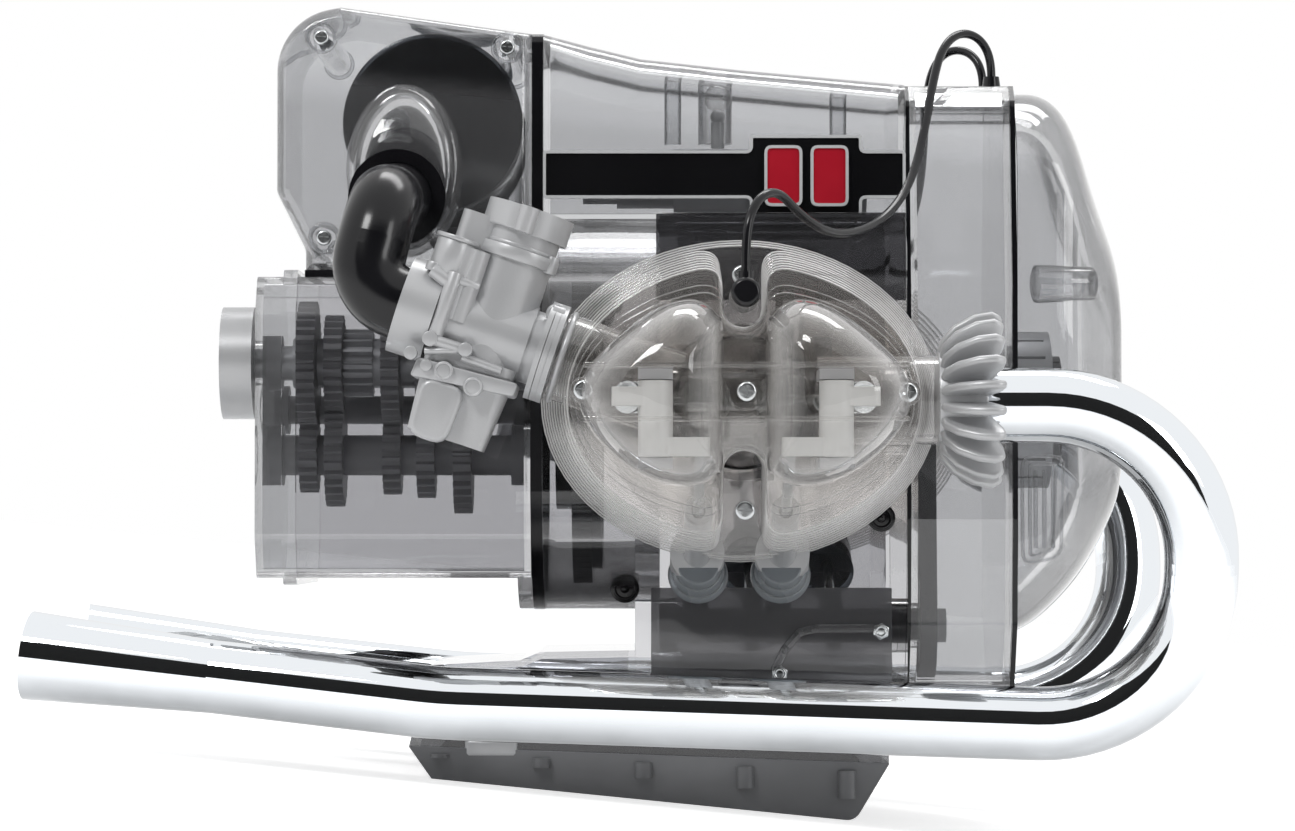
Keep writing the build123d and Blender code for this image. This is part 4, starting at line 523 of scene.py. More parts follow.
def block(low, high):
    """A block between two corners given in the engine, as the active piece."""
    bpy.ops.object.select_all(action="DESELECT")
    middle = [(a + b) / 2 for a, b in zip(low, high)]
    bpy.ops.mesh.primitive_cube_add(
        size=1,
        location=at(*middle),
        rotation=(0, -PAN_TILT, 0),
        scale=[abs(b - a) * MM for a, b in zip(low, high)],
    )
    return bpy.context.object


def join(pieces):
    """Makes one piece out of several; the last becomes the active one."""
    bpy.ops.object.select_all(action="DESELECT")
    for piece in pieces:
        piece.select_set(True)
    bpy.context.view_layer.objects.active = pieces[-1]
    bpy.ops.object.transform_apply(location=True, rotation=True, scale=True)
    bpy.ops.object.join()
    return bpy.context.object


def outline_piece(points, fill):
    """A flat outline through places in the frame, as the active piece."""
    bpy.ops.object.select_all(action="DESELECT")
    bpy.ops.mesh.primitive_circle_add(vertices=len(points), fill_type=fill)
    piece = bpy.context.object
    for vertex, place in zip(piece.data.vertices, points):
        vertex.co = place
    return piece


def slab(points, move, edge=0.0, segments=2):
    """A flat outline through places in the frame, pulled along a vector in metres, as the active piece."""
    piece = outline_piece(points, "NGON")
    edit()
    bpy.ops.mesh.extrude_region_move(TRANSFORM_OT_translate={"value": tuple(move)})
    done()
    if edge:
        soften(edge, segments)
    return piece


def plate(side, outline, out_far, out_near, edge=0.0):
    """A flat plate across a cylinder's axis, from its outline in x and z, as the active piece."""
    points = [on_side(side, x, out_far, z) for x, z in outline]
    return slab(points, Vector((0, side * (out_near - out_far) * MM, 0)), edge)


def rounded(corners, radius, steps=4):
    """An outline with its corners rounded."""
    points = []
    for index, corner in enumerate(corners):
        here = Vector(corner)
        before = (Vector(corners[index - 1]) - here).normalized() * radius
        after = (Vector(corners[(index + 1) % len(corners)]) - here).normalized() * radius
        for step in range(steps + 1):
            share = step / steps
            points.append(tuple(here + before * (1 - share) ** 2 + after * share ** 2))
    return points


def flowing(points, steps=3):
    """A closed outline that flows smoothly through the points."""
    line = []
    count = len(points)
    for index in range(count):
        a, b, c, d = (Vector(points[(index + shift) % count]) for shift in (-1, 0, 1, 2))
        for step in range(steps):
            t = step / steps
            turned = (a * 2 - b * 5 + c * 4 - d) * t**2
            bent = (b * 3 - a - c * 3 + d) * t**3
            line.append(tuple((b * 2 + (c - a) * t + turned + bent) / 2))
    return line


print("modelling helpers are ready")

# %% [markdown]
# Each cylinder has eleven cooling fins. They are flat ovals that get smaller outwards, and from the
# fourth on they have a notch above for the plug and one below for the pushrods, so that the head looks
# like a butterfly from the side. A quarter of that outline, which is part of an ellipse and of a
# round-bottomed notch, is worked out and then mirrored.

# %% outline of a fin
NOTCH = 6.8
NOTCH_CORNER = 8.0
HEAD_DROP = -0.7


def oval(half_width, half_height, count=64):
    """A plain oval."""
    turns = [2 * math.pi * step / count for step in range(count)]
    return [(half_width * math.cos(t), half_height * math.sin(t) + HEAD_DROP) for t in turns]


def notched_edge(half_width, half_height, floor):
    """The upper right quarter of a notched oval, from the middle of the notch to the oval's side."""

    def height(x):
        return half_height * math.sqrt(1 - (x / half_width) ** 2)

    edge = []
    for step in range(5):
        turn = math.radians(-90 + 22.5 * step)
        edge.append((NOTCH * math.cos(turn), floor + NOTCH + NOTCH * math.sin(turn)))
    top = height(NOTCH)
    far = NOTCH + NOTCH_CORNER
    for step in range(7):
        share = step / 6
        low = (1 - share) ** 2
        middle = 2 * share * (1 - share)
        x = NOTCH * (low + middle) + far * share**2
        edge.append((x, (top - NOTCH_CORNER) * low + top * middle + height(far) * share**2))
    start = math.acos(far / half_width)
    for step in range(1, 16):
        turn = start * (1 - step / 16)
        edge.append((half_width * math.cos(turn), half_height * math.sin(turn)))
    return edge


def butterfly(half_width, half_height, top, bottom):
    """An oval with a notch above, down to one height, and a notch below, up to another."""
    above = notched_edge(half_width, half_height, top)
    below = notched_edge(half_width, half_height, -bottom)
    right = above + [(half_width, 0)] + [(x, -z) for x, z in reversed(below)]
    left = [(-x, z) for x, z in reversed(right)]
    return [(x, z + HEAD_DROP) for x, z in right[:-1] + left[:-1]]


print("fin outline has", len(butterfly(60, 48, 24, -16)), "points")

# %% [markdown]
# Each fin is a thin plate with rounded edges. The rounding has a finish of its own, pale where it is seen
# face on and nearly black where it is seen edge on: a painted highlight and painted shade for the light
# that the thick rim of clear plastic catches, and this draws the fins as fine lines.

# %% fins
FIN_OUTS = (66.4, 73.0, 79.5, 86.1, 92.7, 99.2, 107.5, 114.4, 121.3, 128.2, 135.1)
FIN_THICKNESS = 1.7
FIN_REAR_SIZE = (67.4, 54.6)
FIN_FRONT_SIZE = (57.6, 44.6)
REAR_LIFT = 2.0
FLAT_FINS = 3
TOP_NOTCH = 24.0
BOTTOM_NOTCH = -16.0
FIN_ROUNDING = 0.84
BARREL_OUTS = (57.6, 107.5)
BARREL_RADIUS = 26.0


def fins(side, name):
    """The cooling fins of one cylinder and its head, joined into one moulding."""
    pieces = []
    for index, out in enumerate(FIN_OUTS):
        share = index / (len(FIN_OUTS) - 1)
        size = [a + (b - a) * share for a, b in zip(FIN_REAR_SIZE, FIN_FRONT_SIZE)]
        shape = oval(*size) if index < FLAT_FINS else butterfly(*size, TOP_NOTCH, BOTTOM_NOTCH)
        lift = REAR_LIFT * (1 - share)
        piece = plate(side, [(x, z + lift) for x, z in shape], out, out + FIN_THICKNESS)
        piece.data.materials.append(fin_plastic)
        # The rounding takes the rim finish, with its painted highlight and painted shade.
        piece.data.materials.append(fin_rim)
        soften(FIN_ROUNDING, 3, 1)
        pieces.append(piece)
    barrel = rod(*[on_side(side, 0, out, 0) for out in BARREL_OUTS], BARREL_RADIUS, 64)
    barrel.data.materials.append(fin_plastic)
    join([barrel, *pieces])
    return settle(name, fin_plastic)


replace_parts(fins(-1, "fins_right"), "cylinders", "cylinder_heads")
fins(1, "fins_left")
print("fins", len(FIN_OUTS), "on each cylinder")

# %% [markdown]
# The head's ports are clear stubs that carry the inlet manifold behind and the exhaust nut in front,
# with a round core between them.

# %% ports
SLOPE = math.radians(18.4)
PORT_OUT = 123.0
PORT_DROP = 5.7
PORT_RUNS = (24.0, 63.8)
PORT_RADIUS = 14.5
CORE_OUTS = (108.0, 141.0)
CORE_RADIUS = 20.0
for side, name in ((-1, "right"), (1, "left")):
    behind = (-math.cos(SLOPE), math.sin(SLOPE))
    inlet = [on_side(side, behind[0] * run, PORT_OUT, behind[1] * run - PORT_DROP) for run in PORT_RUNS]
    outlet = [on_side(side, run, PORT_OUT, 0) for run in PORT_RUNS]
    core = [on_side(side, 0, out, 0) for out in CORE_OUTS]
    join([rod(*inlet, PORT_RADIUS), rod(*outlet, PORT_RADIUS), rod(*core, CORE_RADIUS)])
    settle("ports_" + name, fin_plastic)
print("ports on both heads")

# %% [markdown]
# A valve cover is one clear moulding: a rim in the shape of the fins, two domed lobes over the rockers,
# and a bar across them with a pocket for a screw at each end. Each lobe is an outline that is pulled
# outwards and drawn together in steps, like a soap film, and then gets a wall.

# %% valve cover lobes
LOBE = (
    (6.8, 20.7), (8.9, 26.7), (12.8, 30.5), (17.9, 31.8), (25.5, 30.1), (33.2, 25.8), (41.7, 19.0),
    (48.5, 12.2), (51.9, 7.1), (53.6, 2.0), (52.7, -3.9), (49.3, -10.7), (43.4, -17.5), (35.7, -23.5),
    (27.2, -27.3), (19.6, -28.6), (13.6, -27.7), (9.4, -24.3), (6.8, -19.2),
)
LOBE_MIDDLE = (28.0, 1.0)
LOBE_BASE = 143.0
LOBE_DEPTH = 41.5
LOBE_STEPS = 16
LOBE_FULLNESS = 3.0
LOBE_WALL = 1.4


def lobe(side, half, name):
    """One domed lobe of a valve cover."""
    middle = on_side(side, half * LOBE_MIDDLE[0], LOBE_BASE, LOBE_MIDDLE[1])
    outline = flowing(LOBE, 4)
    outline_piece([on_side(side, half * x, LOBE_BASE, z) for x, z in outline], "NOTHING")
    edit()
    out, size = 0.0, 1.0
    for step in range(1, LOBE_STEPS + 1):
        share = math.sin(math.radians(88.0 * step / LOBE_STEPS))
        next_out = LOBE_DEPTH * share
        next_size = (1 - share**LOBE_FULLNESS) ** (1 / LOBE_FULLNESS)
        move = (0, side * (next_out - out) * MM, 0)
        bpy.ops.mesh.extrude_region_move(TRANSFORM_OT_translate={"value": move})
        bpy.ops.transform.resize(value=(next_size / size, 1, next_size / size), center_override=middle)
        out, size = next_out, next_size
    bpy.ops.mesh.edge_face_add()
    done()
    bpy.ops.object.modifier_add(type="SOLIDIFY")
    wall = bpy.context.object.modifiers[-1]
    wall.thickness = LOBE_WALL * MM
    wall.offset = -1.0
    bpy.ops.object.modifier_apply(modifier=wall.name)
    return settle(name, cover_plastic, smooth=60)


for side, name in ((-1, "right"), (1, "left")):
    lobe(side, -1, "cover_lobe_rear_" + name)
    lobe(side, 1, "cover_lobe_front_" + name)
print("lobes reach", LOBE_BASE + LOBE_DEPTH, "mm out")

# %% [markdown]
# The rim is two plates, the outer one a little smaller. The bar is two thin ribs across both lobes, with
# a round post in the middle and one at each end, which the screws go into.

# %% rim and bar of the valve covers
RIM = butterfly(56.2, 38.5, 20.0, -14.5)
INNER_RIM = butterfly(54.6, 36.0, 20.6, -15.1)
RIM_OUTS = (142.0, 145.5, 149.0)
RIB_FEET = (-8.0, 9.1)
RIB_THICKNESS = 1.5
RIB_OUTS = (150.0, 175.0)
BAR_END = 51.5
POST_HEIGHT = 1.2
COVER_SCREWS = ((-51.6, 164.0, 2.0), (51.4, 164.0, 1.2))
for side, name in ((-1, "right"), (1, "left")):
    foot, step, top = RIM_OUTS
    join([plate(side, RIM, foot, step, 0.8), plate(side, INNER_RIM, step, top, 1.0)])
    settle("cover_rim_" + name, cover_plastic)
    ribs = []
    foot, top = RIB_OUTS
    for z in RIB_FEET:
        bpy.ops.mesh.primitive_cube_add(
            size=1,
            location=on_side(side, 0, (foot + top) / 2, z + RIB_THICKNESS / 2),
            rotation=(0, -PAN_TILT, 0),
            scale=(2 * BAR_END * MM, (top - foot) * MM, RIB_THICKNESS * MM),
        )
        soften(0.5)
        ribs.append(bpy.context.object)
    ribs.append(rod(on_side(side, 0, foot, POST_HEIGHT), on_side(side, 0, top - 0.1, POST_HEIGHT), 5.4))
    for x, out, z in COVER_SCREWS:
        ribs.append(rod(on_side(side, x, 146, z), on_side(side, x, out, z), 4.2))
        soften(0.6)
    join(ribs)
    settle(
        "cover_bar_" + name,
        cover_plastic,
        replaces=("valve_covers",) if side < 0 else (),
    )
print("valve covers have rims and bars")

# %% [markdown]
# The screws of the covers and the airbox are small pan heads with a cross recess. The head is a short
# rounded cylinder, and the recess is cut by two crossed slots.

# %% screws
SCREW_RADIUS = 3.1
SCREW_HEIGHT = 1.9
SLOT_LENGTH = 1.3
SLOT_WIDTH = 0.3


def screw(place, way, name, radius=SCREW_RADIUS, replaces=()):
    """A pan head with a cross recess, seated at a place in the frame."""
    rod(place, place + way * SCREW_HEIGHT * MM, radius, 32)
    soften(0.7, 3)
    head = bpy.context.object
    turn = way.to_track_quat("Z", "Y").to_euler()
    length, width = radius * SLOT_LENGTH, radius * SLOT_WIDTH
    for first, second in ((length, width), (width, length)):
        bpy.ops.mesh.primitive_cube_add(
            size=1,
            location=place + way * SCREW_HEIGHT * MM,
            rotation=turn,
            scale=(first * MM, second * MM, SCREW_HEIGHT * MM),
        )
        cutter = bpy.context.object
        bpy.context.view_layer.objects.active = head
        bpy.ops.object.modifier_add(type="BOOLEAN")
        cut = head.modifiers[-1]
        cut.object = cutter
        cut.operation = "DIFFERENCE"
        bpy.ops.object.modifier_apply(modifier=cut.name)
        bpy.data.objects.remove(cutter)
    bpy.ops.object.select_all(action="DESELECT")
    head.select_set(True)
    bpy.context.view_layer.objects.active = head
    return settle(name, screw_steel, smooth=30, replaces=replaces)


MIDDLE_SCREWS = ((0, 175.0, 1.2), (0, 149.0, -36.0), (-0.8, 136.8, 40.0))
AIRBOX_SCREWS = ((-143.4, 127.0), (-79.5, 123.5), (-142.4, 58.0))
AIRBOX_OUT = 45.0
AIRBOX_SCREW_RADIUS = 2.6
for side, name in ((-1, "right"), (1, "left")):
    outward = ACROSS * side
    for index, (x, out, z) in enumerate(MIDDLE_SCREWS + COVER_SCREWS):
        screw(on_side(side, x, out, z), outward, f"cover_screw_{name}_{index}")
    for index, (x, z) in enumerate(AIRBOX_SCREWS):
        screw(at(x, side * AIRBOX_OUT, z), outward, f"airbox_screw_{name}_{index}", AIRBOX_SCREW_RADIUS)
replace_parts(bpy.data.objects["airbox_screw_right_0"], "screws")

# %% [markdown]
# The plate on the starter cover is pressed metal: a bright rim round a sunken black field. It carries
# two plain red blocks, which are made in the same way and stand a little higher.

# %% name plate
PLATE = (
    (-67.0, 71.2), (3.9, 71.2), (3.9, 64.8), (42.2, 64.8), (42.2, 71.2), (57.2, 71.2),
    (57.2, 87.6), (42.2, 87.6), (42.2, 92.9), (3.9, 92.9), (3.9, 87.6), (-67.0, 87.6),
)
PLATE_OUT = 50.0
PLATE_HEIGHT = 2.0
PLATE_RIM = 1.0
PLATE_FIELD_DEPTH = 0.7
RED_HEIGHTS = (68.4, 89.3)
RED_CORNER = 2.6
RED_LIFT = 1.2
RED_SPANS = {"red_block_rear": (8.8, 21.8), "red_block_front": (24.6, 37.6)}


def framed(name, outline, out, field, replaces=()):
    """A plate with a silver rim round a sunken field: the face is inset and pushed in."""
    piece = outline_piece([at(x, -out, z) for x, z in outline], "NGON")
    piece.data.materials.append(silver_trim)
    piece.data.materials.append(field)
    edit()
    bpy.ops.mesh.extrude_region_move(TRANSFORM_OT_translate={"value": (0, -PLATE_HEIGHT * MM, 0)})
    bpy.ops.mesh.inset(thickness=PLATE_RIM * MM)
    bpy.ops.mesh.extrude_region_move(TRANSFORM_OT_translate={"value": (0, PLATE_FIELD_DEPTH * MM, 0)})
    piece.active_material_index = 1
    bpy.ops.object.material_slot_assign()
    done()
    return settle(name, silver_trim, replaces=replaces)


framed("name_plate", rounded(PLATE, 1.5), PLATE_OUT, gloss_black, ("badge_plate",))
for name, (rear, front) in RED_SPANS.items():
    foot, top = RED_HEIGHTS
    corners = [(rear, foot), (front, foot), (front, top), (rear, top)]
    framed(name, rounded(corners, RED_CORNER), PLATE_OUT + RED_LIFT, gloss_red)
print("name plate has", len(RED_SPANS), "red blocks")

# %% [markdown]
# The carburettor's castings are in the frame already. What makes it look like one are its small parts.
# First come the lid's ring and screws, the enricher's barrel and its long tube beside the slide, and the
# throttle lever with its rod. Each is a stack of short rods.

# %% carburettor details
CARBURETTOR_RUN = 86.7


def beside(side, u, v, out):
    """A place beside a carburettor: along its bore, up its slide, and out from its middle."""
    along_x, along_z = math.cos(SLOPE), -math.sin(SLOPE)
    x = -CARBURETTOR_RUN * along_x + u * along_x - v * along_z
    z = CARBURETTOR_RUN * math.sin(SLOPE) - PORT_DROP + u * along_z + v * along_x
    return on_side(side, x, PORT_OUT + out, z)


def stack(side, rows, name, edge=0.35):
    """Several rods beside a carburettor, joined into one casting."""
    pieces = []
    for start, end, radius in rows:
        pieces.append(rod(beside(side, *start), beside(side, *end), radius, 36))
        soften(edge)
    join(pieces)
    return settle(name, silver_plastic)


LID = (
    ((0, 24.6, 0), (0, 28.8, 0), 13.9),
    ((0, 28.8, 0), (0, 30.2, 0), 12.6),
    ((-12.2, 24.0, 4.5), (-12.2, 29.6, 4.5), 2.8),
    ((11.6, 24.0, 6.0), (11.6, 29.9, 6.0), 2.2),
    ((2.0, 30.0, 0), (2.0, 31.8, 0), 2.6),
)
ENRICHER = (
    ((-19.5, 13.5, 8.5), (-19.5, 24.8, 8.5), 6.4),
    ((-19.5, 24.8, 8.5), (-19.5, 26.2, 8.5), 7.2),
    ((-24.0, 13.0, 11.5), (-24.0, 16.0, 11.5), 2.6),
    ((-14.5, 10.0, 13.5), (-24.0, 13.5, 13.5), 2.4),
    ((-16.4, -6.5, 14.0), (-16.4, 14.8, 14.0), 2.5),
    ((-16.4, 12.8, 14.0), (-8.0, 12.8, 12.0), 1.6),
)
LINKAGE = (
    ((-18.5, -8.2, 15.0), (-6.0, -8.2, 15.0), 1.9),
    ((-17.5, -8.2, 13.0), (-17.5, -8.2, 17.2), 2.5),
    ((-5.5, -8.0, 11.0), (-5.5, -8.0, 17.6), 2.3),
    ((-22.0, -14.5, 12.0), (-22.0, -14.5, 17.8), 2.2),
    ((-16.0, -16.8, 12.0), (-16.0, -16.8, 17.0), 1.9),
    ((-6.0, -10.5, 14.8), (7.5, -10.8, 13.6), 1.4),
    ((-18.0, -12.6, 14.6), (-8.0, -9.0, 15.4), 1.2),
)
for side, name in ((-1, "right"), (1, "left")):
    stack(side, LID, "carburettor_lid_" + name)
    stack(side, ENRICHER, "enricher_" + name)
    stack(side, LINKAGE, "throttle_linkage_" + name, 0.3)
print("carburettors have lids, enrichers and linkages")

# %% [markdown]
# Below the slide are two jet plugs with a raised ring each, and in front of the bore the manifold's
# pinch collar is held by two rings and a screw boss.

# %% jet plugs and pinch collar
JETS = ((-10.0, -16.6, 3.1), (0.6, -18.6, 3.2))
JET_OUTS = (9.0, 16.5)
COLLAR_RINGS = ((20.5, 15.4), (24.5, 14.6))
PINCH_BOSS = ((17.0, 12.5, 7.0), (21.0, 12.5, 7.0))
PINCH_EYE = (18.5, 12.6, 7.0)
for side, name in ((-1, "right"), (1, "left")):
    pieces = []
    for u, v, radius in JETS:
        pieces.append(rod(*[beside(side, u, v, out) for out in JET_OUTS], radius, 32))
        soften(0.4)
        pieces.append(ring(beside(side, u, v, JET_OUTS[1] - 0.1), ACROSS * side, radius - 0.5, 0.5, 32))
    for u, radius in COLLAR_RINGS:
        centre = beside(side, u, 0, 0)
        way = (beside(side, u + 1, 0, 0) - centre).normalized()
        pieces.append(ring(centre, way, radius, 1.0, 64))
    pieces.append(rod(*[beside(side, *place) for place in PINCH_BOSS], 2.9, 32))
    pieces.append(ring(beside(side, *PINCH_EYE), ACROSS * side, 2.6, 0.9, 32))
    join(pieces)
    settle("jets_and_collar_" + name, silver_plastic)
print("jets and collars are on")

# %% [markdown]
# The float bowl has a lip all round its top and a raised, round-cornered front.

# %% float bowl
BOWL_LIP = ((-20.0, -21.5), (14.0, -17.6), (14.0, -13.0), (-19.5, -15.0))
LIP_FOOT, LIP_DEPTH = -14.0, 29.2
BOWL_FRONT = ((-16.0, -20.0), (-1.0, -20.0), (-2.2, -39.6), (-15.0, -39.6))
FRONT_FOOT, FRONT_DEPTH = 9.0, 6.4
for side, name in ((-1, "right"), (1, "left")):
    inner = [beside(side, u, v, LIP_FOOT) for u, v in rounded(BOWL_LIP, 1.2)]
    lip = slab(inner, ACROSS * side * LIP_DEPTH * MM, 0.8)
    inner = [beside(side, u, v, FRONT_FOOT) for u, v in rounded(BOWL_FRONT, 5.0)]
    front = slab(inner, ACROSS * side * FRONT_DEPTH * MM, 1.6, 4)
    join([lip, front])
    settle("float_bowl_lip_" + name, silver_plastic)
print("float bowls have lips")

# %% [markdown]
# The exhaust nuts have twenty fins that flare forwards like leaves. One leaf is an outline along the pipe
# and out from it, pulled through its thickness, and it is set round the pipe at equal turns.

# %% exhaust nuts
NUT_LEAVES = 20
NUT_RUNS = (63.2, 79.0)
NUT_RADIUS = 15.8
LEAF = (
    (63.4, 14.0), (64.2, 19.5), (68.5, 24.5), (75.0, 28.0),
    (81.0, 29.0), (84.2, 27.2), (83.6, 23.0), (80.0, 14.0),
)
LEAF_THICKNESS = 2.9
for side, name in ((-1, "right"), (1, "left")):
    pieces = []
    for index in range(NUT_LEAVES):
        turn = 2 * math.pi * (index + 0.5) / NUT_LEAVES
        outward, upward = math.cos(turn), math.sin(turn)
        across = Vector((0, -side * upward, outward)) * LEAF_THICKNESS * MM
        points = [on_side(side, x, PORT_OUT + r * outward, r * upward) for x, r in LEAF]
        pieces.append(slab([p - across / 2 for p in points], across, 1.2, 3))
    pieces.append(rod(*[on_side(side, run, PORT_OUT, 0) for run in NUT_RUNS], NUT_RADIUS, 64))
    soften(0.8)
    join(pieces)
    settle(
        "exhaust_nut_" + name,
        silver_plastic,
        replaces=("exhaust_nuts",) if side < 0 else (),
    )
print("exhaust nuts have", NUT_LEAVES, "leaves each")

# %% [markdown]
# The air filter stands in the airbox as one round smoked cartridge between two rims.

# %% air filter
FILTER = (-105.3, 97.8)
FILTER_RADIUS = 31.0
FILTER_RODS = ((-41.8, 41.8, 29.8), (-42.5, -38.5, FILTER_RADIUS), (38.5, 42.5, FILTER_RADIUS))
pieces = []
for low, high, radius in FILTER_RODS:
    pieces.append(rod(at(FILTER[0], low, FILTER[1]), at(FILTER[0], high, FILTER[1]), radius, 96))
    soften(0.8)
join(pieces)
settle("filter_cartridge", filter_plastic, replaces=("air_filter",))
print("air filter", 2 * FILTER_RADIUS, "mm across")

# %% [markdown]
# The small things on the housings come next. On the airbox there is a hanging tab with an eye at each
# intake bulge, and a round recess for each screw.

# %% intake bulge and airbox
TAB = (
    (-121.4, 89.5), (-111.4, 89.5), (-112.0, 97.5), (-113.6, 100.6),
    (-116.4, 101.8), (-119.2, 100.6), (-120.8, 97.5),
)
TAB_OUT = 59.0
TAB_THICKNESS = 0.9
TAB_EYE = (-116.4, 95.0)
for side, name in ((-1, "right"), (1, "left")):
    tab = [at(x, side * TAB_OUT, z) for x, z in TAB]
    pieces = [slab(tab, ACROSS * side * TAB_THICKNESS * MM, 0.4)]
    pieces.append(ring(at(TAB_EYE[0], side * (TAB_OUT + 0.2), TAB_EYE[1]), ACROSS, 2.4, 0.7, 32))
    for x, z in AIRBOX_SCREWS:
        pieces.append(ring(at(x, side * AIRBOX_OUT, z), ACROSS, 4.8, 0.8, 40))
    join(pieces)
    settle("airbox_trim_" + name, clear_plastic)
print("airbox has its tabs and screw recesses")

# %% [markdown]
# The lamp in the starter cover is a glass with a round top, and inside it a bright post with a ball.

# %% lamp in the starter cover
LAMP = (-6.7, -20.0)
GLASS_FOOT, GLASS_TOP, GLASS_RADIUS = 92.5, 108.5, 4.8
join([
    rod(at(*LAMP, GLASS_FOOT), at(*LAMP, GLASS_TOP), GLASS_RADIUS),
    ball(at(*LAMP, GLASS_TOP), GLASS_RADIUS),
])
settle("lamp_glass", cover_plastic)
join([rod(at(*LAMP, 91.0), at(*LAMP, 100.0), 2.4, 24), ball(at(*LAMP, 102.0), 2.6)])
settle("lamp_filament", silver_trim)
print("lamp stands in the starter cover")

# %% [markdown]
# A smoked shield stands below the plate. Just inside the lower wall of the crankcase there is a grey
# panel, because that wall looks milky in the photograph.

# %% shield and panel
SHIELD = ((-28.3, -57.4, 36.0), (57.0, -55.8, 66.0))
SUMP_PANEL = ((-30.0, -56.6, -95.5), (52.0, -55.7, -62.0))
block(*SHIELD)
soften(0.5)
settle("shield", shield_plastic)
block(*SUMP_PANEL)
soften(0.3)
settle("sump_panel", panel_plastic)
print("shield and panel are on the crankcase")

# %% [markdown]
# Each pushrod tube ends in a rubber boot of three steps, which rises outwards with the tube.

# %% rubber boots
BOOT_PLACES = (-14.0, 14.0)
BOOT_STEPS = ((57.5, 61.0, 10.4), (61.0, 65.0, 9.2), (65.0, 69.0, 8.0))
BOOT_FOOT = (57.5, -57.7)
BOOT_RISE = 0.35
BOOT_TAPER = 0.9


def in_boot(side, x, out):
    """A place on the middle line of a boot."""
    return on_side(side, x, out, BOOT_FOOT[1] + (out - BOOT_FOOT[0]) * BOOT_RISE)


for side, name in ((-1, "right"), (1, "left")):
    pieces = []
    for x in BOOT_PLACES:
        for low, high, radius in BOOT_STEPS:
            start, end = in_boot(side, x, low), in_boot(side, x, high)
            pieces.append(rod(start, end, radius, 48, radius - BOOT_TAPER))
            soften(0.4)
    join(pieces)
    settle("pushrod_boots_" + name, boot_rubber)
print("boots have", len(BOOT_STEPS), "steps each")

# %% [markdown]
# Two black plugs close the crankcase. Each is a low disc with a ring and a small dome on it.

# %% plugs of the crankcase
CASE_PLUGS = ((48.3, -57.4, -38.2, 4.8), (-39.0, -30.9, -62.6, 5.0))
PLUG_HEIGHT = 2.4
for index, (x, y, z, radius) in enumerate(CASE_PLUGS):
    pieces = [rod(at(x, y, z), at(x, y - PLUG_HEIGHT, z), radius)]
    soften(0.5)
    pieces.append(ring(at(x, y - PLUG_HEIGHT, z), ACROSS, radius - 1.4, 0.6, 32))
    pieces.append(ball(at(x, y - 1.6, z), 1.8))
    join(pieces)
    settle(f"case_plug_{index}", gloss_black)
print("plugs", len(CASE_PLUGS))

# %% [markdown]
# The oil line is cast on the wall of the sump, with a hexagon screw at each end. A clip holds the pan.

# %% oil line and pan clip
OIL_LINE = ((12.1, -90.0), (15.5, -83.0), (20.6, -77.2), (26.0, -75.9), (47.2, -75.7))
OIL_LINE_OUT = -57.6
OIL_LINE_RADIUS = 1.5
OIL_SCREWS = ((13.7, -91.2), (48.2, -76.8))
PAN_CLIP = ((-93.5, -55.2, -119.8), (-75.5, -51.8, -113.6))
pieces = []
for (x1, z1), (x2, z2) in zip(OIL_LINE, OIL_LINE[1:]):
    pieces.append(rod(at(x1, OIL_LINE_OUT, z1), at(x2, OIL_LINE_OUT, z2), OIL_LINE_RADIUS, 24))
for x, z in OIL_LINE[1:-1]:
    pieces.append(ball(at(x, OIL_LINE_OUT, z), OIL_LINE_RADIUS))
join(pieces)
settle("oil_line", clear_plastic)
for index, (x, z) in enumerate(OIL_SCREWS):
    pieces = [rod(at(x, -57.4, z), at(x, -59.2, z), 3.0, 6)]
    soften(0.4)
    pieces.append(ring(at(x, -59.0, z), ACROSS, 1.7, 0.6, 24))
    join(pieces)
    settle(f"oil_line_screw_{index}", screw_steel)
block(*PAN_CLIP)
soften(1.4, 3)
settle("pan_clip", silver_plastic)
print("oil line, its screws and the pan's clip are on")

# %% [markdown]
# The front cover has a tapered screw boss that leans inwards, and an opening with two raised lines round
# it and three louvres in it.

# %% front cover boss and louvres
BOSS_FOOT = (101.0, -55.6, 41.6)
BOSS_TIP = (121.5, -51.0, 42.0)
OPENING = ((96.4, -17.2), (110.6, -17.2), (109.6, -51.5), (96.6, -54.0))
INWARD = ((1, -1), (-1, -1), (-1, 1), (1, 1))
OPENING_CORNER = 4.0
LOUVRES = (101.0, 104.0, 107.0)
pieces = [rod(at(*BOSS_FOOT), at(*BOSS_TIP), 6.6, 48, 5.6)]
soften(0.7)
pieces.append(ring(at(121.3, -51.0, 42.0), along(1, 0.22, 0), 3.8, 0.8, 32))
join(pieces)
settle("front_boss", clear_plastic)
pieces = []
for inset in (0.0, 2.6):
    corners = [(x + a * inset, z + b * inset) for (x, z), (a, b) in zip(OPENING, INWARD)]
    line = rounded(corners, OPENING_CORNER - inset)
    for (x1, z1), (x2, z2) in zip(line, line[1:] + line[:1]):
        pieces.append(rod(at(x1, -57.0, z1), at(x2, -57.0, z2), 0.6, 12))
for x in LOUVRES:
    pieces.append(rod(at(x, -56.8, -22.0), at(x, -56.8, -48.5), 0.7, 12))
join(pieces)
settle("louvres", clear_plastic)
print("front cover has its boss and louvres")

# %% [markdown]
# The two ignition leads hang free between the timing housing and the plug caps. Each is one smooth NURBS
# line through listed control points, given a round section by its bevel.

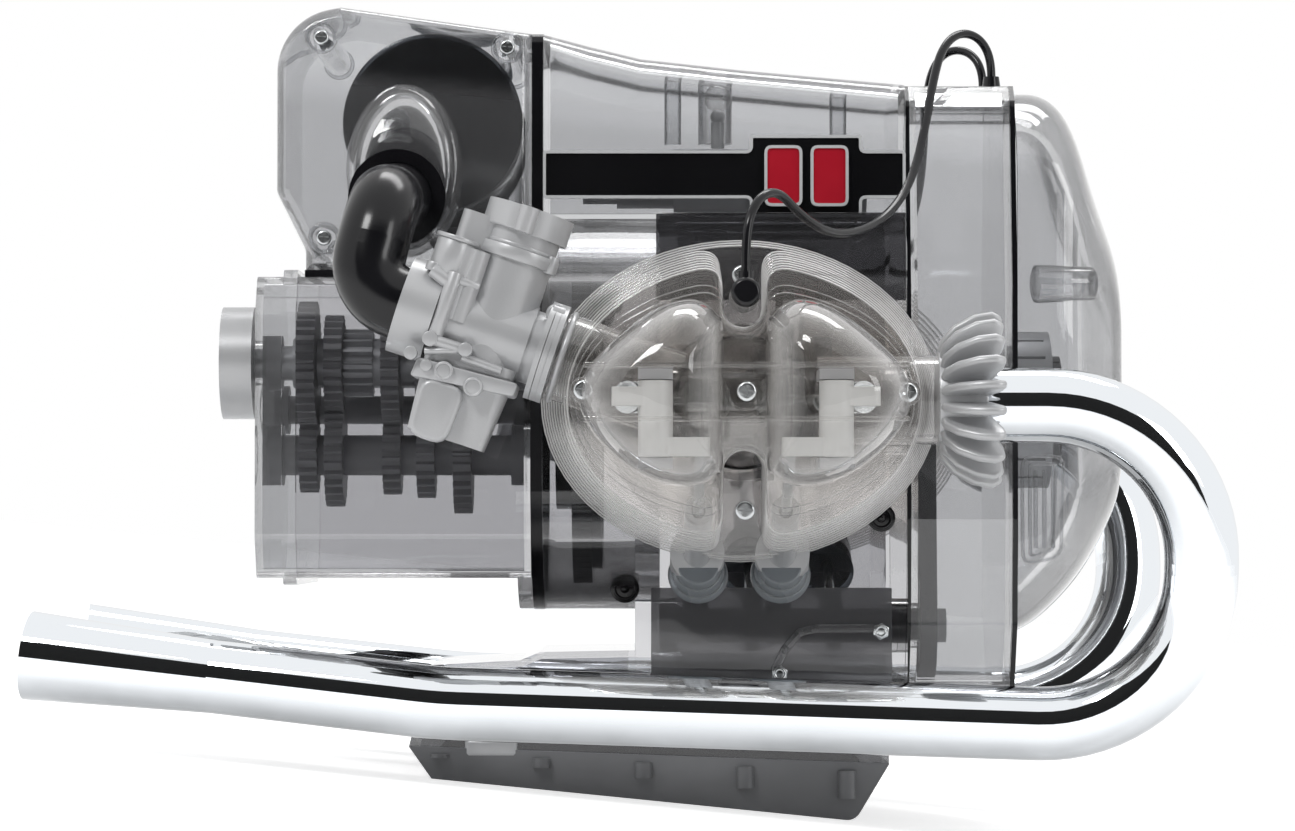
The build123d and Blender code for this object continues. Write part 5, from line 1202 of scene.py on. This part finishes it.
# %% ignition leads
LEAD_RADIUS = 1.5
RIGHT_LEAD = (
    (89.0, -20.0, 116.0), (89.0, -20.0, 123.0), (84.0, -24.0, 130.0), (76.5, -30.0, 130.5),
    (70.5, -37.0, 124.0), (67.0, -46.0, 112.0), (64.0, -56.0, 97.0), (60.0, -68.0, 81.0),
    (53.5, -82.0, 67.5), (44.0, -98.0, 58.5), (33.5, -115.0, 54.5), (25.0, -129.0, 55.5),
    (17.5, -139.5, 60.0), (11.4, -147.8, 66.0), (6.0, -155.0, 65.2), (1.9, -160.5, 59.4),
    (0.0, -163.0, 50.9), (0.0, -163.0, 39.8),
)
LEFT_LEAD = (
    (89.0, 20.0, 116.0), (89.0, 20.0, 123.0), (84.0, 24.0, 130.0), (76.5, 30.0, 130.5),
    (71.5, 37.0, 124.0), (70.0, 46.0, 112.0), (70.0, 56.0, 97.0), (69.0, 68.0, 81.0),
    (65.5, 82.0, 67.5), (59.5, 98.0, 58.5), (51.5, 115.0, 54.5), (44.5, 129.0, 55.5),
    (37.5, 139.5, 60.0), (31.4, 147.8, 66.0), (26.0, 155.0, 65.2), (21.9, 160.5, 59.4),
    (20.0, 163.0, 50.9), (20.0, 163.0, 39.8),
)


def lead(name, points, node):
    """A limp round lead along a smooth line."""
    curve = bpy.data.curves.new(name, "CURVE")
    curve.dimensions = "3D"
    curve.bevel_depth = LEAD_RADIUS * MM
    curve.bevel_resolution = 4
    curve.resolution_u = 8
    line = curve.splines.new("NURBS")
    line.points.add(len(points) - 1)
    for point, place in zip(line.points, points):
        point.co = (*at(*place), 1)
    line.order_u = 3
    line.use_endpoint_u = True
    piece = bpy.data.objects.new(name, curve)
    bpy.context.collection.objects.link(piece)
    curve.materials.append(black_rubber)
    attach(piece, "engine")
    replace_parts(piece, node)
    at(*points[0])
    return piece


lead("lead_right", RIGHT_LEAD, "ht_lead_right")
lead("lead_left", LEFT_LEAD, "ht_lead_left")
print("leads have", len(RIGHT_LEAD), "points each")

# %% [markdown]
# The studio is a pale floor under soft lamps. The floor scatters light like paper, and wherever a ray
# ends in the picture, straight, off a mirror or through a clear piece, it also glows a little, so that
# it shows as white as in the photograph without lighting the engine from below.

# %% floor
FLOOR_SIZE = 12.0
FLOOR_GLOW = (0.64, 0.64, 0.64)


def in_picture(tree):
    """One for rays that end in the picture, and nothing for rays that only carry light."""
    path = tree.nodes.new("ShaderNodeLightPath")
    seen = Value(tree, path.outputs["Is Camera Ray"])
    for kind in ("Is Glossy Ray", "Is Transmission Ray"):
        seen = seen.sum("MAXIMUM", seen, Value(tree, path.outputs[kind]))
    return seen


bpy.ops.mesh.primitive_plane_add(size=FLOOR_SIZE, location=(0, 0, 0))
floor = bpy.context.object
floor.name = "floor"
paper = Finish("floor_paper")
paper.set(
    Base_Color=paper.between((0.78, 0.78, 0.78), (0.82, 0.82, 0.82), paper.noise(3.0)),
    Roughness=0.9,
    Specular_IOR_Level=0.1,
    Emission_Color=paper.between((0, 0, 0), FLOOR_GLOW, in_picture(paper.tree)),
    Emission_Strength=1.0,
)
floor.data.materials.append(paper.material)
floor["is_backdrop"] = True
print("floor", FLOOR_SIZE, "m square")

# %% [markdown]
# Three softboxes light the engine: one from the left in front, one from the right, and one from above
# and behind. Chrome and clear plastic need something dark to show, so a dark card stands behind the
# camera, where only reflections see it.

# %% lamps and dark card
LAMP_AIM = (0, 0, 0.12)
CARD_PLACE = (0, -2.6, 0.95)
CARD_SIZE = (5.0, 2.3)
dark_card = moulded("dark_card", (0.01, 0.01, 0.01), (0.015, 0.015, 0.015), 0.9, POLISHED_SKIN)


def lamp(name, place, width, height, power):
    """A softbox that faces the engine."""
    bpy.ops.object.light_add(type="AREA", location=place)
    light = bpy.context.object
    light.name = name
    light.data.shape = "RECTANGLE"
    light.data.size = width
    light.data.size_y = height
    light.data.energy = power
    light.rotation_euler = (Vector(LAMP_AIM) - Vector(place)).to_track_quat("-Z", "Y").to_euler()


lamp("key_lamp", (-0.75, -1.1, 1.15), 0.5, 0.3, 9)
lamp("fill_lamp", (0.95, -0.9, 0.6), 0.3, 0.6, 3)
lamp("top_lamp", (0.1, 0.35, 1.2), 0.9, 0.3, 6)
bpy.ops.mesh.primitive_plane_add(size=1, location=CARD_PLACE, rotation=(math.radians(90), 0, 0))
card = bpy.context.object
card.name = "black_card"
card.data.transform(Matrix.Diagonal((*CARD_SIZE, 1, 1)))
card.visible_camera = False
card.data.materials.append(dark_card)
card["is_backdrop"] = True
print("lamps and dark card are in place")

# %% [markdown]
# The world behind everything is white where it is seen, and half as bright as a source of light, which
# keeps the shadows. The many clear walls need a large number of straight passes.

# %% world
AMBIENT = 0.5
CLEAR_WALLS = 64
world = bpy.data.worlds.new("studio")
bpy.context.scene.world = world
world.use_nodes = True
tree = world.node_tree
background = tree.nodes["Background"]
background.inputs["Color"].default_value = (1, 1, 1, 1)
strength = in_picture(tree) * (1 - AMBIENT) + AMBIENT
tree.links.new(strength.socket, background.inputs["Strength"])
bpy.context.scene.cycles.transparent_max_bounces = CLEAR_WALLS
bpy.context.scene.view_settings.view_transform = "Standard"
print("world is ready")

# %% [markdown]
# Last, the size of everything that shows is printed.

# %% size of everything that shows
low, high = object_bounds()
print("visual box", [round(v, 3) for v in (*low, *high)])
